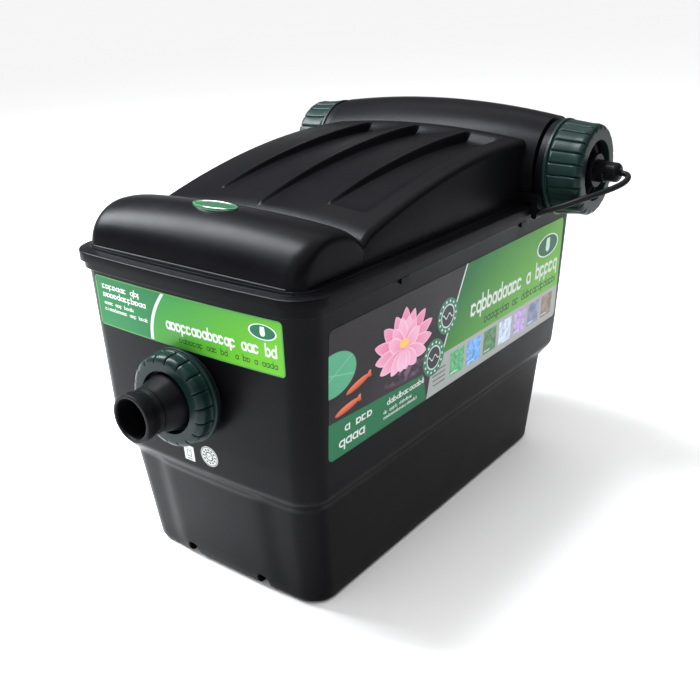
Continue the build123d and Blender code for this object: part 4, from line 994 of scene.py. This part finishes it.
# ---------------- soft pieces inside the tub
def foam_slab(name, node, material):
    """Cut foam block with soft, slightly uneven faces."""
    low, high = box_mm(node)
    half_x, half_y = (high - low)[:2] / 2
    middle_y = (high + low)[1] / 2
    tall = high[2] - low[2]
    loops = []
    for share, draw in ((0.0, 12.0), (0.0, 2.2), (0.04, 0.8), (0.15, 0.2), (0.35, 0.9), (0.5, 1.3),
                        (0.65, 0.9), (0.85, 0.2), (0.96, 0.8), (1.0, 2.2), (1.0, 12.0)):
        taper = (1 - share) * (wall_half(high[2])[0] - wall_half(low[2])[0])
        loop = footprint(half_x - taper - draw, half_y - draw, 20.0, low[2] + share * tall)
        loop[:, 1] = np.clip(loop[:, 1], -half_y + draw, half_y - draw) + middle_y
        loop[:, 2] -= 0.5 * (share > 0.9) * np.cos(loop[:, 0] / 17.0) * np.sin(loop[:, 1] / 23.0)
        loops.append(loop)
    slab = stacked(name, loops, 60.0)
    finish_piece(slab, "tub", material, [node])
    return slab


# ---------------- lamp lead
LEAD_ROUTE = ((213.2, 178.6, 351.5), (219.0, 178.4, 351.3), (223.2, 174.4, 349.6), (224.2, 167.6, 346.9),
              (221.0, 159.6, 343.2), (210.0, 148.2, 337.6), (191.2, 134.0, 329.6), (170.0, 126.6, 320.0),
              (149.6, 122.6, 312.4))
LEAD_DIAMETER = 6.2


def make_lead():
    curve = bpy.data.curves.new("lead", "CURVE")
    curve.dimensions = "3D"
    spline = curve.splines.new("NURBS")
    spline.points.add(len(LEAD_ROUTE) - 1)
    for point, spot in zip(spline.points, LEAD_ROUTE):
        point.co = (*[value * MM for value in spot], 1.0)
    spline.order_u = 3
    spline.use_endpoint_u = True
    spline.resolution_u = 16
    curve.bevel_depth = LEAD_DIAMETER / 2 * MM
    curve.bevel_resolution = 6
    curve.use_fill_caps = True
    curve.materials.append(sheath)
    lead = placed("lamp_lead_cord", curve)
    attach(lead, "lid")
    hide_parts("lamp_lead")
    return lead


# ---------------- materials
BLACK = (0.0020, 0.0020, 0.0027)
black = moulded("black_plastic", BLACK, 0.34, 0.7, 0.26, 0.30, 2.6, Specular_IOR_Level=0.05)
fitting = moulded("black_fitting", (0.0026, 0.0026, 0.0033), 0.34, 0.6, 0.22, 0.35, 2.6,
                  Specular_IOR_Level=0.07)
green = moulded("green_plastic", (0.0032, 0.0115, 0.0102), 0.33, 0.6, 0.22, 0.45, 2.2,
                Specular_IOR_Level=0.12)
grid_black = moulded("grid_plastic", (0.020, 0.020, 0.021), 0.48, 0.9, 0.3, 0.25)
grey_media = moulded("media_plastic", (0.055, 0.060, 0.065), 0.45, 0.9, 0.3, 0.3)
ballast_grey = moulded("ballast_plastic", (0.050, 0.050, 0.055), 0.5, 1.2, 0.4, 0.3)
rubber = moulded("seal_rubber", (0.012, 0.012, 0.012), 0.62, 0.5, 0.35, 0.1)
sheath = moulded("lead_sheath", (0.0040, 0.0040, 0.0046), 0.42, 0.5, 0.2, 0.1, Specular_IOR_Level=0.10)
nylon = moulded("slip_nylon", (0.62, 0.60, 0.52), 0.42, 0.7, 0.2, 0.1, 1.1)
ceramic = moulded("lamp_base_white", (0.70, 0.69, 0.64), 0.45, 0.6, 0.2, 0.1, 1.1)
badge_green = moulded("badge_green", (0.008, 0.075, 0.028), 0.16, 1.4, 0.05, 0.9, 5.0, Coat_Weight=0.8,
                      Coat_Roughness=0.06)
steel = metal("screw_steel", (0.56, 0.56, 0.54), 0.28)
quartz = glass("quartz_glass", (0.90, 0.94, 0.95), 0.92)
lamp_glass = glass("lamp_glass", (0.80, 0.86, 0.93), 0.85)
fine = open_foam("foam_fine", (0.030, 0.085, 0.200), 1.1)
medium = open_foam("foam_medium", (0.045, 0.150, 0.085), 1.7)
coarse = open_foam("foam_coarse", (0.050, 0.050, 0.055), 2.6)

# ---------------- carried-over CAD nodes
KEPT = {
    black: ("uv_housing", "lead_duct"),
    fitting: ("outlet_spigot", "outlet_backnut", "lamp_cap", "blank_cap", "cable_gland", "gland_nut",
              "mains_gland", "lamp_holder"),
    rubber: ("outlet_gasket", "outlet_oring", "inlet_oring", "lamp_cap_oring", "blank_cap_oring",
             "quartz_oring", "lid_seal"),
    grid_black: ("divider_plate", "support_grid", "media_screen", "distribution_tray", "sleeve_support"),
    nylon: ("lamp_slip_ring", "blank_slip_ring"),
    grey_media: ("bio_media",),
    quartz: ("quartz_sleeve",),
    lamp_glass: ("uv_lamp",),
    ceramic: ("lamp_base",),
    ballast_grey: ("ballast_box",),
    steel: ("housing_screws", "ballast_screws"),
}
for material, names in KEPT.items():
    for node_name in names:
        nodes[node_name].data.materials.clear()
        nodes[node_name].data.materials.append(material)

# ---------------- pieces
finish_piece(make_tub(), "tub", black, ["tub"])
finish_piece(make_lid(), "lid", black, ["lid"])
finish_piece(make_badge(), "lid", badge_green, ["lid_badge"])

front_low, front_high = box_mm("front_label")
side_low, side_high = box_mm("side_label")
finish_piece(film("front_film", front_high[0], front_low[2], front_high[2], 4.0, 0.0, front_wall),
             "tub", front_artwork(), ["front_label"])
finish_piece(film("side_film", side_high[1], side_low[2], side_high[2], 6.0, 0.0, side_wall),
             "tub", side_artwork(), ["side_label"])
paper = sticker_artwork()
finish_piece(film("square_sticker", 6.5, 134.5, 150.5, 1.0, SQUARE_X, front_wall), "tub", paper,
             ["front_stickers"])
finish_piece(film("round_sticker", 10.5, 136.5, 157.5, 10.45, ROUND_X, front_wall), "tub", paper)

# each collar's open end and direction, then lip, barrel and front radius, shoulder, clear and hole radius,
# web thickness and number of grooves
LARGE = (51.5, 50.0, 47.9, 12.5, 43.4, 32.0, 9.3, 24)
for end, axis, side, centre, sizes in (
        ("outlet", 1, -1, (0.0, 0.0, outlet_z), (44.5, 43.5, 42.7, 13.0, 37.9, 29.0, 5.4, 18)),
        ("inlet", 1, 1, (inlet_x, 0.0, inlet_z), (31.5, 30.5, 29.5, 8.5, 26.4, 20.0, 5.9, 16)),
        ("lamp", 0, 1, (0.0, uv_y, uv_z), LARGE),
        ("blank", 0, -1, (0.0, uv_y, uv_z), LARGE)):
    ends = box_mm(f"{end}_union_nut")
    mouth = np.array(centre)
    mouth[axis] = ends[0 if side > 0 else 1][axis]
    along = np.zeros(3)
    along[axis] = side
    collar(f"{end}_collar", f"{end}_union_nut", mouth, along, *sizes, f"{end}_nut")
make_outlet_tail()
make_inlet_tail()
foam_slab("fine_foam_block", "fine_foam", fine)
foam_slab("medium_foam_block", "medium_foam", medium)
foam_slab("coarse_foam_block", "coarse_foam", coarse)
make_lead()

# ---------------- floor, light and camera
FLOOR_SIZE, FLOOR_Z = 45.0, -0.0002


def make_floor():
    loop = [(-FLOOR_SIZE, -FLOOR_SIZE, FLOOR_Z), (FLOOR_SIZE, -FLOOR_SIZE, FLOOR_Z),
            (FLOOR_SIZE, FLOOR_SIZE, FLOOR_Z), (-FLOOR_SIZE, FLOOR_SIZE, FLOOR_Z)]
    mesh = bpy.data.meshes.new("floor")
    mesh.from_pydata(loop, [], [(0, 1, 2, 3)])
    floor = placed("floor", mesh)
    material, shader, tree, where = new_material("floor_pale", 0.7)
    cloud = noise(tree, where, 900.0)
    coloured(shader, mixed(tree, cloud, (0.88, 0.88, 0.885), (0.90, 0.90, 0.902)))
    mesh.materials.append(material)


def lamp_object(name, light, spot, aim):
    """Lamp at a spot, pointed at a target; both in metres."""
    lamp = placed(name, light)
    lamp.location = spot
    lamp.rotation_mode = "QUATERNION"
    lamp.rotation_quaternion = (Vector(aim) - Vector(spot)).to_track_quat("-Z", "Y")


def area_light(name, spot, aim, width, height, power, colour=(1.0, 1.0, 1.0)):
    """Soft rectangular lamp."""
    light = bpy.data.lights.new(name, "AREA")
    light.shape = "RECTANGLE"
    light.size, light.size_y = width, height
    light.energy = power
    light.color = colour
    lamp_object(name, light, spot, aim)


def overhead_light(spot, spread_deg, power):
    """Very wide even light from far away."""
    light = bpy.data.lights.new("overhead", "SUN")
    light.angle = math.radians(spread_deg)
    light.energy = power
    lamp_object("overhead", light, spot, (0, 0, 0))


CAMERA_SPOT, CAMERA_ANGLES, CAMERA_LENS = (0.5579, -0.7531, 0.5509), (37.05, 22.49, -1.03), 47.05


def make_camera():
    azimuth, elevation, roll = [math.radians(angle) for angle in CAMERA_ANGLES]
    back = Vector((math.sin(azimuth) * math.cos(elevation), -math.cos(azimuth) * math.cos(elevation),
                   math.sin(elevation)))
    right = Vector((math.cos(azimuth), math.sin(azimuth), 0.0))
    up = back.cross(right)
    turned_right = right * math.cos(roll) + up * math.sin(roll)
    turned_up = up * math.cos(roll) - right * math.sin(roll)
    data = bpy.data.cameras.new("camera")
    data.sensor_width = 36.0
    data.lens = CAMERA_LENS
    data.clip_end = 50.0
    camera = placed("camera", data)
    camera.matrix_world = Matrix.LocRotScale(
        Vector(CAMERA_SPOT),
        Matrix((turned_right, turned_up, back)).transposed().to_quaternion(), None)
    bpy.context.scene.camera = camera


make_floor()
make_camera()
world = bpy.data.worlds.new("studio")
world.use_nodes = True
tree = world.node_tree
backdrop = tree.nodes["Background"]
backdrop.inputs["Strength"].default_value = 1.0
sky = tree.nodes.new("ShaderNodeSeparateXYZ")
tree.links.new(tree.nodes.new("ShaderNodeTexCoord").outputs["Generated"], sky.inputs[0])
above = Field(tree, sky.outputs["Z"]).between(0.05, 0.16)
tree.links.new(mixed(tree, above, (1.0, 1.0, 1.0), (0.2, 0.2, 0.2)), backdrop.inputs["Color"])
bpy.context.scene.world = world
overhead_light((0.0, 0.0, 2.0), 100.0, 2.75)
area_light("side_softbox", (-0.98, -0.42, 1.60), (0, -0.1, 0.3), 0.55, 1.7, 130.0, (0.92, 0.96, 1.0))
area_light("front_softbox", (0.3, -2.2, 1.0), (0, -0.1, 0.25), 1.2, 1.2, 10.0)
bpy.context.scene.view_settings.view_transform = "Standard"
